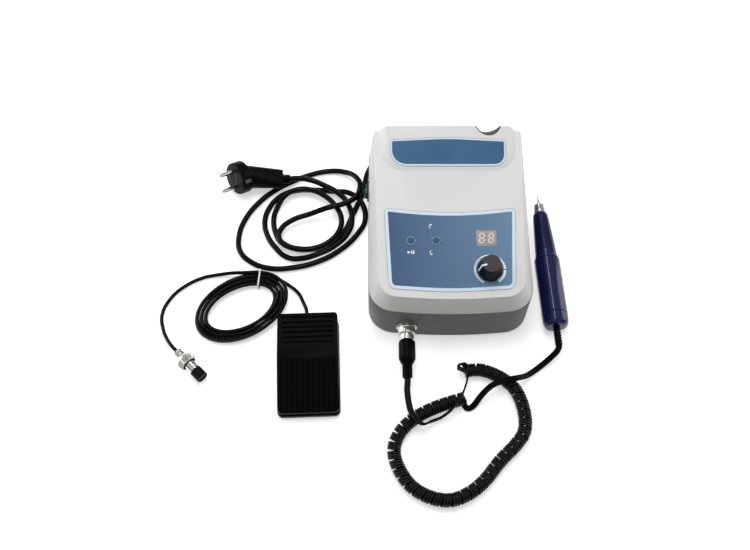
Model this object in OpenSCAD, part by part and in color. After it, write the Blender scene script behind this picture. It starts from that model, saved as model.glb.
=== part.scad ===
// Laboratory micromotor set: control unit, motor handpiece and foot pedal with their cords,
// laid out on a bench at z = 0. +Y points to the rear of the control unit.

/* [Control unit] */
// Width of the case
case_w = 170; // [160:1:180]
// Depth of the case
case_d = 202; // [190:1:215]
// Height of the joint between base and cover above the bench
parting_h = 52.4; // [46:0.2:58]
// Radius of the front corners in plan
front_r = 28; // [20:1:34]
// Radius of the rear corners in plan
rear_r = 8; // [4:1:12]
// How far the front face bows out in its middle
front_bow = 5.5; // [3:0.5:8]
// Wall of the base
base_wall = 2.6; // [2:0.1:3.5]
// Wall of the cover
cover_wall = 2.6; // [2:0.1:3.5]
// Step of the cover behind the edge of the base
seam_step = 0.5; // [0.2:0.1:1]
// Radius of a rubber foot
foot_r = 7; // [5:0.5:9]
// Height of a rubber foot
foot_h = 1.6; // [1:0.2:4]

/* [Top plate] */
// Height of the plate at its front edge
plate_front_h = 69; // [66:0.5:72]
// Slope of the plate up to the rear
plate_tilt = 6.5; // [4:0.5:8]
// Distance of the plate's front edge behind the front face
plate_inset = 9.5; // [7:0.5:12]
// Width of the plate at the front
plate_front_w = 147; // [140:1:152]
// Width of the plate at the rear
plate_rear_w = 160; // [154:1:162]
// Width of the raised hump at the rear
hump_w = 133; // [120:1:138]
// Run of the hump from its front crease to the rear
hump_run = 49; // [44:1:54]
// Rise of the hump above the plate at the rear edge
hump_rise = 9.1; // [8:0.1:13]
// Spread of the hump's sides at their foot
hump_flare = 7; // [4:0.5:10]
// Radius of the handpiece rest
rest_r = 14.5; // [13.8:0.1:16]
// Place of the handpiece rest right of the middle
rest_x = 44; // [30:0.2:46]
// Depth of the rest's floor below the hump's rear edge
rest_depth = 11.2; // [9:0.2:13]
// Thickness of the rubber pad in the rest
rest_pad_t = 1.2; // [0.8:0.1:2]

/* [Labels] */
// Width of the control label at its top edge
label_top_w = 136; // [128:1:138]
// Width of the control label at its bottom edge
label_foot_w = 128; // [120:1:132]
// Length of the control label along the plate
label_len = 92; // [88:1:96]
// Distance of the label from the plate's front edge
label_from_front = 8; // [7:0.5:10]
// Thickness of the labels
label_t = 0.4; // [0.2:0.1:0.8]
// Width of the badge on the hump
badge_w = 127; // [110:1:128]
// Length of the badge along the hump
badge_len = 34; // [28:1:36]

/* [Controls] */
// Radius of a push button
button_r = 5; // [4:0.25:6]
// Travel of a push button
button_travel = 0.4; // [0.3:0.1:0.8]
// Distance between the two buttons
button_pitch = 26; // [22:1:30]
// Width of the display window
window_w = 21; // [18:0.5:26]
// Height of the display window
window_h = 17.5; // [15:0.5:20]
// Radius of the speed knob at its skirt
knob_r = 13; // [11:0.5:14]
// Radius of the speed knob at its top
knob_top_r = 9.4; // [8:0.2:11]
// Height of the speed knob
knob_h = 16; // [13:0.5:18]
// Radius of the potentiometer's shaft
shaft_r = 3; // [2:0.5:3.5]
// Height of the power switch
switch_h = 21; // [19:0.5:24]
// Width of the power switch
switch_w = 15; // [13:0.5:17]

/* [Sockets] */
// Radius of the threaded barrel of a socket
barrel_r = 7.9; // [7:0.1:9]
// Length of the barrel in front of its flange
barrel_len = 8; // [7:0.5:10]
// Radius of the socket's flange
flange_r = 10.75; // [10:0.25:12]
// Height of the motor socket above the bench
socket_z = 22.5; // [18:0.5:28]
// Distance of the motor socket left of the middle
socket_left = 45; // [38:1:50]
// Radius of the coupling rings
ring_r = 9; // [8.8:0.1:10]

/* [Handpiece] */
// Radius of the motor housing
housing_r = 13.8; // [13:0.1:15]
// Length of the motor housing
housing_len = 67.7; // [62:0.1:80]
// Length of the rear cap
cap_len = 15.2; // [12:0.5:18]
// Length of the front grip
grip_len = 56; // [50:1:64]
// Radius of the grip at its rear end
grip_rear_r = 11.85; // [11:0.1:13]
// Radius of the grip at its front end
grip_front_r = 8.2; // [7.6:0.1:9]
// Length of the steel nose
nose_len = 12; // [9:0.5:15]
// Radius of the steel nose
nose_r = 6.65; // [6.4:0.05:7.4]
// Radius of the motor spindle
spindle_r = 3; // [2.5:0.1:3.5]
// Radius of a tool shank
shank_r = 1.175; // [1:0.025:1.6]
// Length of the tool in front of the nose
tool_len = 13.6; // [8:0.5:20]
// Turn of the handpiece on the bench
handpiece_turn = 2.15; // [0:0.05:5]

/* [Foot pedal] */
// Width of the pedal
pedal_w = 64.4; // [60:0.2:70]
// Length of the pedal
pedal_len = 107; // [98:0.5:112]
// Height of the pedal
pedal_h = 27; // [25:0.5:30]
// Height of the base's lip round the treadle
tray_h = 4; // [3:0.5:5]
// Wall of the pedal's base
tray_wall = 2.2; // [1.8:0.1:3]
// Travel of the treadle in degrees
treadle_travel = 4; // [2:0.5:5]
// Height of the treadle at its front edge
treadle_front_h = 14; // [12.5:0.5:16]
// Radius of the treadle's hinge pin
hinge_pin_r = 2; // [1.5:0.1:2.5]
// Turn of the pedal on the bench
pedal_turn = 2.1; // [0:0.1:5]

/* [Mains plug] */
// Radius of the plug's round head
plug_r = 18.5; // [17.5:0.5:19.5]
// Length of the round head
plug_head_len = 13; // [10:0.5:16]
// Radius of a contact pin
plug_pin_r = 2.4; // [2:0.1:2.4]
// Length of a contact pin
plug_pin_len = 19; // [17:0.5:20]
// Distance between the contact pins
plug_pin_pitch = 19; // [17:0.5:20]

/* [Cords] */
// Diameter of the mains cord
mains_d = 6.3; // [5.5:0.1:7]
// Diameter of the pedal cord
pedal_d = 4; // [3.4:0.1:4.2]
// Width of the ribbon cable between unit and handpiece
ribbon_w = 6.4; // [5:0.1:6.6]
// Thickness of the ribbon cable
ribbon_t = 1.7; // [1.2:0.1:2.2]
// Outer radius of the curly part
curl_r = 7; // [6:0.1:7]
// Number of curls
curls = 43.5; // [35.5:1:43.5]
// Loops of the pedal cord in each of its two layers
pedal_loops = 3; // [2:1:3]

/* [Hidden] */
$fn = 64;
eps = 0.02;
hull_fn = 32;

// Clearances: running fit of a shaft, free gap between pieces, gap of a seated piece
run_fit = 0.05;
free_gap = 0.3;
seat_gap = 0.1;

// Places on the bench
unit_x = 27;
unit_rear = 142;
pedal_x = -119.9;
pedal_y = -97.9;
handpiece_x = 140.3;
handpiece_y = -57.3;
plug_x = -211;
plug_y = 125.4;
plug_z = 21.7;
pedal_plug_x = -257.4;
pedal_plug_y = -82.6;
pedal_plug_turn = -45;

// Case screws, in the unit's own plan: x from the middle, y from the front face
screw_side_front = case_w/2 - 17;
screw_side_rear = case_w/2 - 13;
screw_front = 30;
screw_rear = case_d - 16;
screw_spots = [[-screw_side_front, screw_front], [screw_side_front, screw_front],
    [-screw_side_rear, screw_rear], [screw_side_rear, screw_rear]];
screw_r = 1.5;
screw_head_r = 2.8;
screw_head_h = 2;
screw_len = 18;
screw_boss_r = 5;
screw_seat = parting_h - 10;
foot_spots = [for (x = [-1, 1]) for (y = [24, case_d - 24]) [x*(case_w/2 - 24), y]];

// Plate: slope, length and the crease where the hump starts
plate_len = (case_d - seam_step - plate_inset)/cos(plate_tilt);
hump_y = case_d - hump_run;
hump_foot_h = plate_front_h + (hump_y - plate_inset)*tan(plate_tilt);
hump_rear_h = plate_front_h + plate_len*sin(plate_tilt) + hump_rise;
hump_tilt = atan((hump_rear_h - hump_foot_h)/hump_run);
hump_len = (hump_run - seam_step)/cos(hump_tilt);
plate_r = 20;
rest_dip = 41;
rest_turn = 15;
rest_jacket = 2.4;

// Radius of the bowed front in its middle, so that it ends where the corners begin
bow_r = (case_w/2 - front_r)*(case_w/2)/(1.5*front_bow);

// Controls, in the plate's own plan: u from the middle, s from the front edge
button_u = -41.2;
button_s = 63.5;
window_u = 36.8;
window_s = 66.5;
knob_u = 38.8;
knob_s = 31.5;
board_depth = 14;
board_t = 1.6;
board_w = 118;
board_len = 80;
board_s = 15;
board_post_r = 3;
board_posts = [for (u = [-1, 1]) for (s = [5, board_len - 5]) [u*(board_w/2 - 5), board_s + s]];
psu_w = 104;
psu_len = 70;
psu_y = 82;
psu_hole = 5;
psu_post = 5;
psu_part_h = 24;
button_flange = 1.2;
button_proud = 0.3;
button_hole_r = button_r + 0.3;
tact_h = 4.3;
knob_gap = 0.6;
pot_bush_r = 3.9;
pot_r = 8.5;
pot_h = 8;

// Power switch on the left wall: y from the front face, z above the bench
switch_y = 162.3;
switch_z = 32;
bezel_t = 1.8;
bezel_rim = 1.8;
rocker_r = 7.9;
rocker_w = switch_w - 4;
rocker_tilt = 12;
rocker_pivot = 1;

// Rear wall
rear_z = 24;
gland_x = -17;
fuse_x = -52;
pedal_socket_x = 45;
gland_r = 7;
gland_len = 22;
fuse_r = 8;

// Sockets and the motor plug, all measured outward from the flange's seat
flange_t = 2;
socket_well_r = 6;
socket_well_len = 7;
socket_tail = 13;
socket_pad = 5;
pad_face = 0.8;
nut_t = 2.5;
plug_nose_r = socket_well_r - 0.1;
ring_start = flange_t + free_gap;
ring_lip = 1.2;
ring_end = ring_start + barrel_len + 1;
shell_end = 20.5;
shell_tail_r = 5.5;
shell_tail = 3.5;
boot_r = 8.75;
boot_len = 27;
sleeve_r = 5.2;
sleeve_len = 10.5;
sleeve_ribs = 4;
sleeve_end = shell_end + boot_len + sleeve_len;

// Handpiece, measured forward from the rear face of its cap
housing_wall = 1.6;
housing_bore = housing_r - housing_wall;
housing_front = cap_len + housing_len;
carrier_r = 6;
carrier_bore = 5;
collar_t = 1.7;
grip_start = housing_front + collar_t + free_gap;
grip_end = grip_start + grip_len;
nose_start = grip_end + free_gap;
nose_end = nose_start + nose_len;
hand_sleeve_r = 4;
hand_sleeve_len = 19.4;
hand_sleeve_ribs = 5;
rear_bearing_r = 8;
rear_bearing_w = 6;
front_bearing_w = 7;
bearing_shelf = 1.8;
stator_gap = 4;
rotor_r = 6.7;
grip_grooves = 12;

// Foot pedal, in its own plan with the origin at its middle
pedal_foot_h = 1.2;
pedal_foot_r = 5;
tray_floor = 2.5;
tray_top = pedal_foot_h + tray_floor;
lip_top = pedal_foot_h + tray_h;
rim_top = lip_top + 1.8;
rim_gap = 1.2;
treadle_edge = 0.8;
treadle_w = pedal_w - 2*treadle_edge;
treadle_front = treadle_edge - pedal_len/2;
treadle_rear = pedal_len/2 - treadle_edge;
treadle_bend = 3;
treadle_t = 3;
treadle_wall = 2.4;
treadle_r = 5;
treadle_foot = lip_top + free_gap;
treadle_nose = treadle_foot + (treadle_bend - treadle_front)*tan(treadle_travel) + free_gap;
rim_inset = treadle_edge + treadle_wall + rim_gap;
pivot_z = 17;
lug_x = 20;
lug_w = 6;
lug_r = 4.6;
cross_grooves = 6;
cross_pitch = 5.66;
cross_start = 19;
long_grooves = 11;
long_pitch = 5.4;
groove_w = 1.8;
groove_margin = 4.7;
groove_t = 1.1;
spring_y = -36;
spring_r = 4;
spring_wire = 1;
spring_turns = 5;
spring_top = 12.6;
switch_body_y = -20;
pedal_gland_x = -2;
pedal_gland_r = 3;
pedal_gland_len = 6;
pedal_gland_z = 4.6;
gland_boss_w = 8.4;
gland_boss_len = 7;
gland_boss_top = pedal_gland_z + pedal_gland_r + 0.8;

// Plug on the pedal cord, measured from the cord's end of it
clamp_len = 8;
nut_start = 8.3;
nut_len = 11;
nut_r = 9.2;
body_len = 26;
body_r = 5.4;
insert_len = 15;

// Mains plug: the head is turned against the grip and rolled about its own axis
head_turn = 38;
head_lift = 20;
head_roll = -60;
grip_turn = 4;
grip_dip = 5.2;
grip_end_x = 55;
relief_len = 8;
pin_root_r = plug_pin_r - 0.4;
pin_root = 7.9;
relief_ribs = 4;
clip_w = 4;
clip_len = plug_head_len - 5;
clip_t = 0.8;
clip_sink = 0.2;

// Routes of the free cords, chosen by hand on the bench: x, y, height of the centre and, for
// the ribbon cable, the angle that it is rolled by
motor_route = [[-18, -117.2, 22.5, 0], [-18, -122, 22, 0], [-18.4, -131.5, 20.2, 0],
    [-15.5, -149, 17.6, 0], [-9, -159, 15.8, 10], [-2, -161.5, 11.5, 50], [5, -158, 7.5, 90],
    [15, -153.5, 5.5, 90], [23, -149, 9, 90], [30, -143.5, 16, 90], [36, -136, 20, 90],
    [40.5, -125, 19, 60], [43.2, -113.5, 15.2, 15], [42.2, -108, 13.7, 0], [39, -104, 13.17, 0]];
curl_route = [[39, -104], [58, -102], [78, -110], [93, -124], [100, -146], [99, -167],
    [89, -182], [72, -199], [57, -217], [41, -230], [22, -237], [2, -234], [-15, -224],
    [-26, -209], [-32, -192], [-30, -177], [-21, -163], [-6, -151], [15, -141], [40, -133]];
hand_route = [[40, -133, 0.9, 0], [40.5, -138, 0.9, 0], [44, -142, 1.2, 0], [50, -139, 2.5, 0],
    [57, -131, 8, 0], [67, -123, 15, 0], [80, -117.5, 17, 0], [94, -114, 15, 0],
    [106, -108, 7, 0], [118, -99, 3, 0], [130, -90, 5.5, 0], [138, -83.5, 11, 0],
    [140.8, -79, 13.3, 0], [141.03, -76.7, 13.8, 0]];
pedal_route = [[-124.1, -38.2, 4.6], [-124.4, -33.8, 4.2], [-125.6, -28.6, 3.2], [-128.4, -22, 2.7],
    [-134, -11, 2.7], [-145, -1, 2.7], [-158.8, 7.4, 2.7]];
tail_route = [[-184.3, 12.9, 7.2], [-196, 12.3, 7.2], [-206, 12.6, 6.2], [-217, 12.4, 4], [-228, 11.4, 2.4],
    [-239, 9, 2.1], [-259, -2, 2.1], [-273, -17, 2.1], [-280, -36, 2.2], [-277, -53, 3.2],
    [-271, -66, 6.4], [-263.5, -76.5, 8.9], [-257.4, -82.6, 9.2]];
mains_route = [[-150.4, 129.6, 16.1], [-140, 130.5, 16.2], [-126, 128.5, 16], [-108, 122, 13.5],
    [-92, 113, 10.5], [-81, 98, 9.8], [-77, 80, 9.7], [-81, 62, 9.7], [-95, 45.5, 9.7],
    [-114, 34.5, 9.7], [-133, 30.5, 6.5], [-149, 34, 3.2], [-162, 46, 3.2], [-172, 62, 3.2],
    [-176, 80, 3.2], [-172, 98, 3.2], [-160, 114, 3.2], [-145, 121.5, 3.2],
    [-122, 123, 3.2], [-100, 121, 3.2], [-79, 114, 9.7], [-66, 101, 9.7], [-62, 84, 3.2],
    [-70, 65, 3.2], [-90, 43, 3.2], [-115, 28, 3.2], [-143, 20.5, 3.2], [-168, 20, 3.2],
    [-187, 27, 3.2], [-201, 41, 3.2], [-204, 60, 3.2], [-198, 84, 3.2], [-183, 107, 3.2],
    [-167, 122, 3.2], [-150, 133, 3.2], [-129, 143, 3.2], [-106, 149, 3.2], [-86, 146, 6],
    [-73, 135, 12], [-68, 119, 16.4], [-73, 105, 16.4], [-86, 96, 16.5], [-103, 91, 16.4],
    [-125, 86, 10], [-143, 79, 9.6], [-156, 67, 9.6], [-158, 55, 9.6], [-150, 46, 9.6],
    [-135, 41, 9.6], [-118, 42, 9.6], [-101, 51, 9.6], [-91, 65, 9.7], [-89, 81, 9.7],
    [-96, 97, 9.7], [-109, 111, 9.6], [-125, 119, 9.6], [-141, 119, 9.6], [-154, 111, 9.6],
    [-163, 98, 3.2], [-166, 83, 3.2], [-163, 66, 3.2], [-156, 53, 3.2], [-143, 45.5, 3.2],
    [-128, 43.5, 3.2], [-110, 47, 3.2], [-95, 56, 3.2], [-84, 70, 3.2], [-78, 85, 3.2],
    [-72, 100, 3.2], [-66, 116, 3.2], [-63, 132, 3.2], [-59.5, 147, 3.2], [-50, 163, 6],
    [-34, 178, 12], [-15, 186, 18], [2, 179, 22.5], [9.5, 170, 24], [10, 164, 24]];

// Pedal cord's coil: an oval of piled loops, half axes of its outermost strand
coil_x = -195;
coil_y = -28.5;
coil_turn = 30.5;
coil_half_len = 52.6;
coil_half_w = 36.9;
coil_start = 20;
coil_finish = 55;
coil_pitch = pedal_d + 0.8;
coil_layer = pedal_d + 0.5;
tie_t = 0.6;
tie_slack = 0.4;
tie_w = 1.6;
coil_z = tie_t + pedal_d/2 + seat_gap;

// A vector of length one
function unit(v) = v/norm(v);

// A plane vector turned by an angle
function turned(v, a) = [v[0]*cos(a) - v[1]*sin(a), v[0]*sin(a) + v[1]*cos(a)];

// Arc of radius at[2] that rounds the corner at a point between its two neighbours
function corner(before, at, after) =
    let (p = [at[0], at[1]],
         u = unit([before[0], before[1]] - p),
         v = unit([after[0], after[1]] - p),
         half = acos(u*v)/2,
         centre = p + unit(u + v)*at[2]/sin(half),
         start = p + u*at[2]/tan(half) - centre,
         sweep = 180 - 2*half,
         steps = ceil(max(sweep/11, at[2]*sweep/900)))
    at[2] == 0 ? [p]
        : [for (i = [0:steps]) centre + turned(start, (cross(u, v) > 0 ? -1 : 1)*sweep*i/steps)];

// Outline with each corner [x, y, radius] rounded
function rounded(pts) =
    let (n = len(pts))
    [for (i = [0:n - 1]) each corner(pts[(i + n - 1)%n], pts[i], pts[(i + 1)%n])];

// Plan of the case: bowed front, large front corners, small rear corners
function case_plan(inset) =
    rounded([[-case_w/2 + inset, front_bow + inset, front_r - inset],
        [0, inset - front_bow/2, bow_r - inset],
        [case_w/2 - inset, front_bow + inset, front_r - inset],
        [case_w/2 - inset, case_d - inset, max(rear_r - inset, 1)],
        [inset - case_w/2, case_d - inset, max(rear_r - inset, 1)]]);

// Plan of the tilted top plate
function plate_plan(inset) =
    rounded([[inset - plate_front_w/2, 3.5 + inset, plate_r - inset],
        [0, inset - 1.5, 590 - inset],
        [plate_front_w/2 - inset, 3.5 + inset, plate_r - inset],
        [plate_rear_w/2 - inset, plate_len - inset, 4],
        [inset - plate_rear_w/2, plate_len - inset, 4]]);

// Plan of the hump's top and of its foot, which is wider by the spread of the sides
function hump_plan(inset, spread) =
    rounded([[inset - hump_w/2 - spread, inset, 22],
        [hump_w/2 + spread - inset, inset, 22],
        [hump_w/2 + spread - inset, hump_len - inset, 0],
        [inset - hump_w/2 - spread, hump_len - inset, 0]]);

// Smooth curve through the points of a route, with n steps a stretch
function bend(a, b, c, d, t) =
    0.5*(2*b + (c - a)*t + (2*a - 5*b + 4*c - d)*t*t + (3*b - a - 3*c + d)*t*t*t);
function smooth(route, n) =
    let (m = len(route) - 1)
    [for (i = [0:m - 1]) for (j = [0:n - 1])
        bend(route[max(i - 1, 0)], route[i], route[i + 1], route[min(i + 2, m)], j/n), route[m]];
function space(p) = [p[0], p[1], p[2]];
function heading(pts, i) = unit(space(pts[min(i + 1, len(pts) - 1)]) - space(pts[max(i - 1, 0)]));

// Distances along a line of points
function distances(pts) =
    [for (i = 0, d = 0; i < len(pts);
        d = i + 1 < len(pts) ? d + norm(pts[i + 1] - pts[i]) : d, i = i + 1) d];

// Sections of a cord: a circle with a number of sides, and a flat ribbon
function round_section(r, sides) = [for (i = [0:sides - 1]) turned([r, 0], 360*i/sides)];
ribbon_section = [[ribbon_w/2, 0], [ribbon_w/2 - 0.8, ribbon_t/2], [0.8 - ribbon_w/2, ribbon_t/2],
    [-ribbon_w/2, 0], [0.8 - ribbon_w/2, -ribbon_t/2], [ribbon_w/2 - 0.8, -ribbon_t/2]];

// Rings of a section along a line of points, rolled by each point's fourth value
function cord_rings(pts, section) =
    [for (i = [0:len(pts) - 1])
        let (t = heading(pts, i),
             side = unit(cross(t, [0, 0, 1])),
             lift = cross(side, t),
             roll = len(pts[i]) > 3 ? pts[i][3] : 0)
        [for (s = section) let (q = turned(s, roll)) space(pts[i]) + side*q[0] + lift*q[1]]];

// Curly part: the ribbon wound round the smooth route, its width along the route
curl_line = smooth(curl_route, 4);
curl_dist = distances(curl_line);
curl_len = curl_dist[len(curl_dist) - 1];
curl_mean_r = curl_r - ribbon_t/2;
curl_rise = curl_r + eps;
curl_swing = 45;
function curl_at(d) =
    [lookup(d, [for (i = [0:len(curl_line) - 1]) [curl_dist[i], curl_line[i][0]]]),
     lookup(d, [for (i = [0:len(curl_line) - 1]) [curl_dist[i], curl_line[i][1]]]), curl_rise];
function curl_ring(k) =
    let (d = curl_len*k/(curls*8),
         ahead = curl_at(min(d + 4, curl_len)),
         behind = curl_at(max(d - 4, 0)),
         swing = curl_swing*max(1 - k/8, 0),
         t = concat(turned(unit(ahead - behind), swing), [0]),
         side = unit(cross(t, [0, 0, 1])),
         out = side*cos(90 + 45*k) + [0, 0, 1]*sin(90 + 45*k))
    [for (s = ribbon_section) curl_at(d) + out*(curl_mean_r + s[1]) + t*s[0]];
curl_rings = [for (k = [0:curls*8]) curl_ring(k)];

// Least gap between neighbouring curls
curl_gap = min([for (k = [0:len(curl_rings) - 9])
    min([for (a = curl_rings[k]) for (b = curl_rings[k + 8]) norm(a - b)])]);
echo(curl_gap = curl_gap);

// Loops of the pedal cord: in along the lower layer, up a layer, out along the upper one
coil_turns = 2*pedal_loops + (coil_finish - coil_start)/360;
function coil_point(t) =
    let (outward = (coil_turns - t)*pedal_loops/(coil_turns - pedal_loops),
         inward = coil_pitch*(t < pedal_loops ? t : outward),
         climb = min(max((t - pedal_loops + 0.25)*2, 0), 1),
         a = coil_start + 360*t,
         q = turned([(coil_half_len - inward)*cos(a), (coil_half_w - inward)*sin(a)], coil_turn))
    [coil_x + q[0], coil_y + q[1], coil_z + coil_layer*climb];
coil_line = [for (k = [0:floor(coil_turns*24)]) coil_point(k/24), coil_point(coil_turns)];
coil_gap = min([for (i = [0:len(coil_line) - 14]) for (j = [i + 12:len(coil_line) - 1])
    norm(coil_line[i] - coil_line[j])]) - pedal_d;
echo(coil_gap = coil_gap);

// Closed skin over a list of rings
module skin(rings) {
    n = len(rings[0]);
    m = len(rings);
    polyhedron(points = [for (r = rings) each r], faces = [
        for (i = [0:m - 2]) for (j = [0:n - 1]) each [
            [i*n + j, (i + 1)*n + j, i*n + (j + 1)%n],
            [i*n + (j + 1)%n, (i + 1)*n + j, (i + 1)*n + (j + 1)%n]],
        for (k = [1:n - 2]) [0, k, k + 1],
        for (k = [1:n - 2]) [(m - 1)*n, (m - 1)*n + k + 1, (m - 1)*n + k]]);
}

// Places: the unit's own plan, its tilted plate, the pedal, the handpiece and the two plugs
module in_unit() { translate([unit_x, unit_rear - case_d, 0]) children(); }
module on_plate(u = 0, s = 0, h = 0) {
    in_unit() translate([0, plate_inset, plate_front_h]) rotate([plate_tilt, 0, 0])
        translate([u, s, h]) children();
}
module on_hump(h = 0) {
    in_unit() translate([0, hump_y, hump_foot_h]) rotate([hump_tilt, 0, 0])
        translate([0, 0, h]) children();
}
module at_front() { in_unit() translate([-socket_left, pad_face, socket_z]) rotate([90, 0, 0]) children(); }
module at_rear(x) { in_unit() translate([x, case_d, rear_z]) rotate([-90, 0, 0]) children(); }
module at_switch() { in_unit() translate([-case_w/2, switch_y, switch_z]) rotate([0, -90, 0]) children(); }
module in_pedal() { translate([pedal_x, pedal_y, 0]) rotate([0, 0, pedal_turn]) children(); }
module in_handpiece() {
    translate([handpiece_x, handpiece_y, housing_r]) rotate([0, 0, handpiece_turn])
        rotate([-90, 0, 0]) children();
}
module in_pedal_plug() {
    translate([pedal_plug_x, pedal_plug_y, nut_r]) rotate([0, 0, pedal_plug_turn])
        rotate([0, 90, 0]) children();
}
module at_plug_face() {
    translate([plug_x, plug_y, plug_z]) rotate([0, 0, head_turn]) rotate([0, head_lift - 90, 0])
        rotate([0, 0, head_roll]) children();
}

module along_grip() {
    translate([plug_x, plug_y, plug_z]) rotate([0, 0, grip_turn]) rotate([0, 90 + grip_dip, 0]) children();
}

// Round piece turned from a profile of [radius, length] points
module lathe(profile) { rotate_extrude() polygon(profile); }

// Ribbed sleeve over a cord
module ribbed_sleeve(r, length, ribs, bore) {
    pitch = length/(ribs + 1);
    difference() {
        union() {
            cylinder(r = r*0.82, h = length);
            for (i = [0:ribs]) translate([0, 0, i*pitch]) cylinder(r = r, h = pitch*0.62);
        }
        if (bore > 0) translate([0, 0, -1]) cylinder(r = bore, h = length + 2);
    }
}

// Cover without its cavity: ruled sides from the joint up to the tilted plate, and the hump
module cover_body(inset) {
    hull() {
        in_unit() translate([0, 0, parting_h - (inset > 0 ? 1 : 0)]) linear_extrude(eps)
            polygon(case_plan(seam_step + inset));
        on_plate(0, 0, -eps - inset) linear_extrude(eps) polygon(plate_plan(inset));
    }
    hull() {
        on_hump(-eps - inset) linear_extrude(eps) polygon(hump_plan(inset, 0));
        intersection() {
            on_plate(0, 0, -1 - inset) translate([-case_w/2, 0, 0]) cube([case_w, plate_len, eps]);
            on_hump(-60) linear_extrude(80) polygon(hump_plan(inset, hump_flare));
        }
    }
}

// Cylinder of the handpiece rest, dipping to the rear left through the hump's rear edge
module rest_cylinder(r) {
    half = 3*rest_r;
    in_unit() translate([rest_x, case_d, hump_rear_h - rest_depth]) rotate([0, 0, rest_turn])
        rotate([-90 - rest_dip, 0, 0]) translate([0, rest_pad_t - rest_r, -half])
        cylinder(r = r, h = 2*half);
}

module cover_holes() {
    for (k = [0, 1]) on_plate(button_u + k*button_pitch, button_s, -10)
        cylinder(r = button_hole_r, h = 20);
    on_plate(window_u, window_s, 0) cube([window_w, window_h, 20], center = true);
    on_plate(knob_u, knob_s, -10) cylinder(r = pot_bush_r + free_gap, h = 20);
}

module lower_base() {
    color("#58585a") difference() {
        union() {
            in_unit() difference() {
                translate([0, 0, foot_h]) linear_extrude(parting_h - foot_h) polygon(case_plan(0));
                translate([0, 0, foot_h + base_wall]) linear_extrude(parting_h)
                    polygon(case_plan(base_wall));
            }
            in_unit() for (p = screw_spots) translate([p[0], p[1], foot_h])
                cylinder(r = screw_boss_r, h = parting_h - foot_h);
            at_front() translate([0, 0, -socket_pad]) cylinder(r = flange_r + 1, h = socket_pad);
        }
        in_unit() for (p = screw_spots) translate([p[0], p[1], 0]) {
            cylinder(r = screw_head_r + 0.2, h = screw_seat);
            cylinder(r = screw_r + 0.2, h = parting_h + 1);
        }
        at_front() translate([0, 0, -20]) cylinder(r = barrel_r + seat_gap, h = 30);
        at_rear(pedal_socket_x) translate([0, 0, -20]) cylinder(r = barrel_r + seat_gap, h = 30);
        at_rear(gland_x) translate([0, 0, -20]) cylinder(r = gland_r*0.7 + seat_gap, h = 30);
        at_rear(fuse_x) translate([0, 0, -20]) cylinder(r = fuse_r*0.8 + seat_gap, h = 30);
        at_switch() cube([switch_h - 2*bezel_rim + 0.4, switch_w - 2*bezel_rim + 0.4, 20], center = true);
    }
}

module upper_cover() {
    color("#dcdcda") difference() {
        cover_body(0);
        difference() {
            cover_body(cover_wall);
            in_unit() for (p = screw_spots) translate([p[0], p[1], parting_h])
                cylinder(r = screw_boss_r, h = 60);
            for (p = board_posts) on_plate(p[0], p[1], -board_depth)
                cylinder(r = board_post_r, h = board_depth);
            rest_cylinder(rest_r + rest_jacket);
        }
        rest_cylinder(rest_r);
        cover_holes();
        in_unit() for (p = screw_spots) translate([p[0], p[1], parting_h - 1])
            cylinder(r = screw_r + run_fit, h = 10);
    }
}

module panel_label() {
    color("#5a738c") difference() {
        on_plate(0, label_from_front, 0) linear_extrude(label_t)
            polygon(rounded([[-label_foot_w/2, 2, 10], [0, -2, 400], [label_foot_w/2, 2, 10],
                [label_top_w/2, label_len, 4], [0, label_len - 4.5, 400],
                [-label_top_w/2, label_len, 4]]));
        cover_holes();
    }
}

module badge_label() {
    color("#41607f") on_hump(0) linear_extrude(label_t)
        translate([0, (hump_len - badge_len)/2 - 1.5])
        polygon(rounded([[-badge_w/2, 0, 18], [0, -1, 0], [badge_w/2, 0, 16],
            [badge_w/2, badge_len - 2, 5], [0, badge_len, 0], [-badge_w/2, badge_len - 2, 5]]));
}

module rest_pad() {
    color("#1c1c1d") intersection() {
        cover_body(0);
        difference() {
            rest_cylinder(rest_r - run_fit);
            rest_cylinder(rest_r - rest_pad_t);
        }
    }
}

module rubber_feet() {
    color("#1d1d1e") in_unit() for (p = foot_spots) translate([p[0], p[1], 0])
        cylinder(r = foot_r, h = foot_h);
}

module case_screws() {
    color("silver") in_unit() for (p = screw_spots) translate([p[0], p[1], screw_seat]) {
        translate([0, 0, -screw_head_h]) cylinder(r = screw_head_r, h = screw_head_h);
        cylinder(r = screw_r, h = screw_len);
    }
}

module display_window() {
    color("#c9b8b8") on_plate(window_u, window_s, -0.8 + label_t/2)
        cube([window_w - 2*seat_gap, window_h - 2*seat_gap, 1.6], center = true);
}

module display_module() {
    top = -1.6 + label_t/2;
    color("#3a3a3c") on_plate(window_u, window_s, (top - board_depth)/2)
        cube([window_w - 2*free_gap, window_h - 2*free_gap, board_depth + top], center = true);
}

// Push button: cap in its hole, a flange under the cover and a stem down to its switch
module push_button(k) {
    stem = board_depth - cover_wall - button_flange - tact_h - free_gap - button_travel;
    on_plate(button_u + k*button_pitch, button_s, -cover_wall - seat_gap) {
        cylinder(r = button_r, h = cover_wall + seat_gap + label_t + button_proud);
        translate([0, 0, -button_flange]) cylinder(r = button_r + 1.5, h = button_flange);
        translate([0, 0, -button_flange - stem + seat_gap]) cylinder(r = 1.8, h = stem);
    }
}

module start_button() { color("#6d8299") push_button(0); }

module direction_button() { color("#6d8299") push_button(1); }

module button_switches() {
    color("#2a2a2c") for (k = [0, 1]) on_plate(button_u + k*button_pitch, button_s, -board_depth) {
        translate([-3, -3, 0]) cube([6, 6, tact_h - 0.8]);
        cylinder(r = 1.7, h = tact_h);
    }
}

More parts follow.
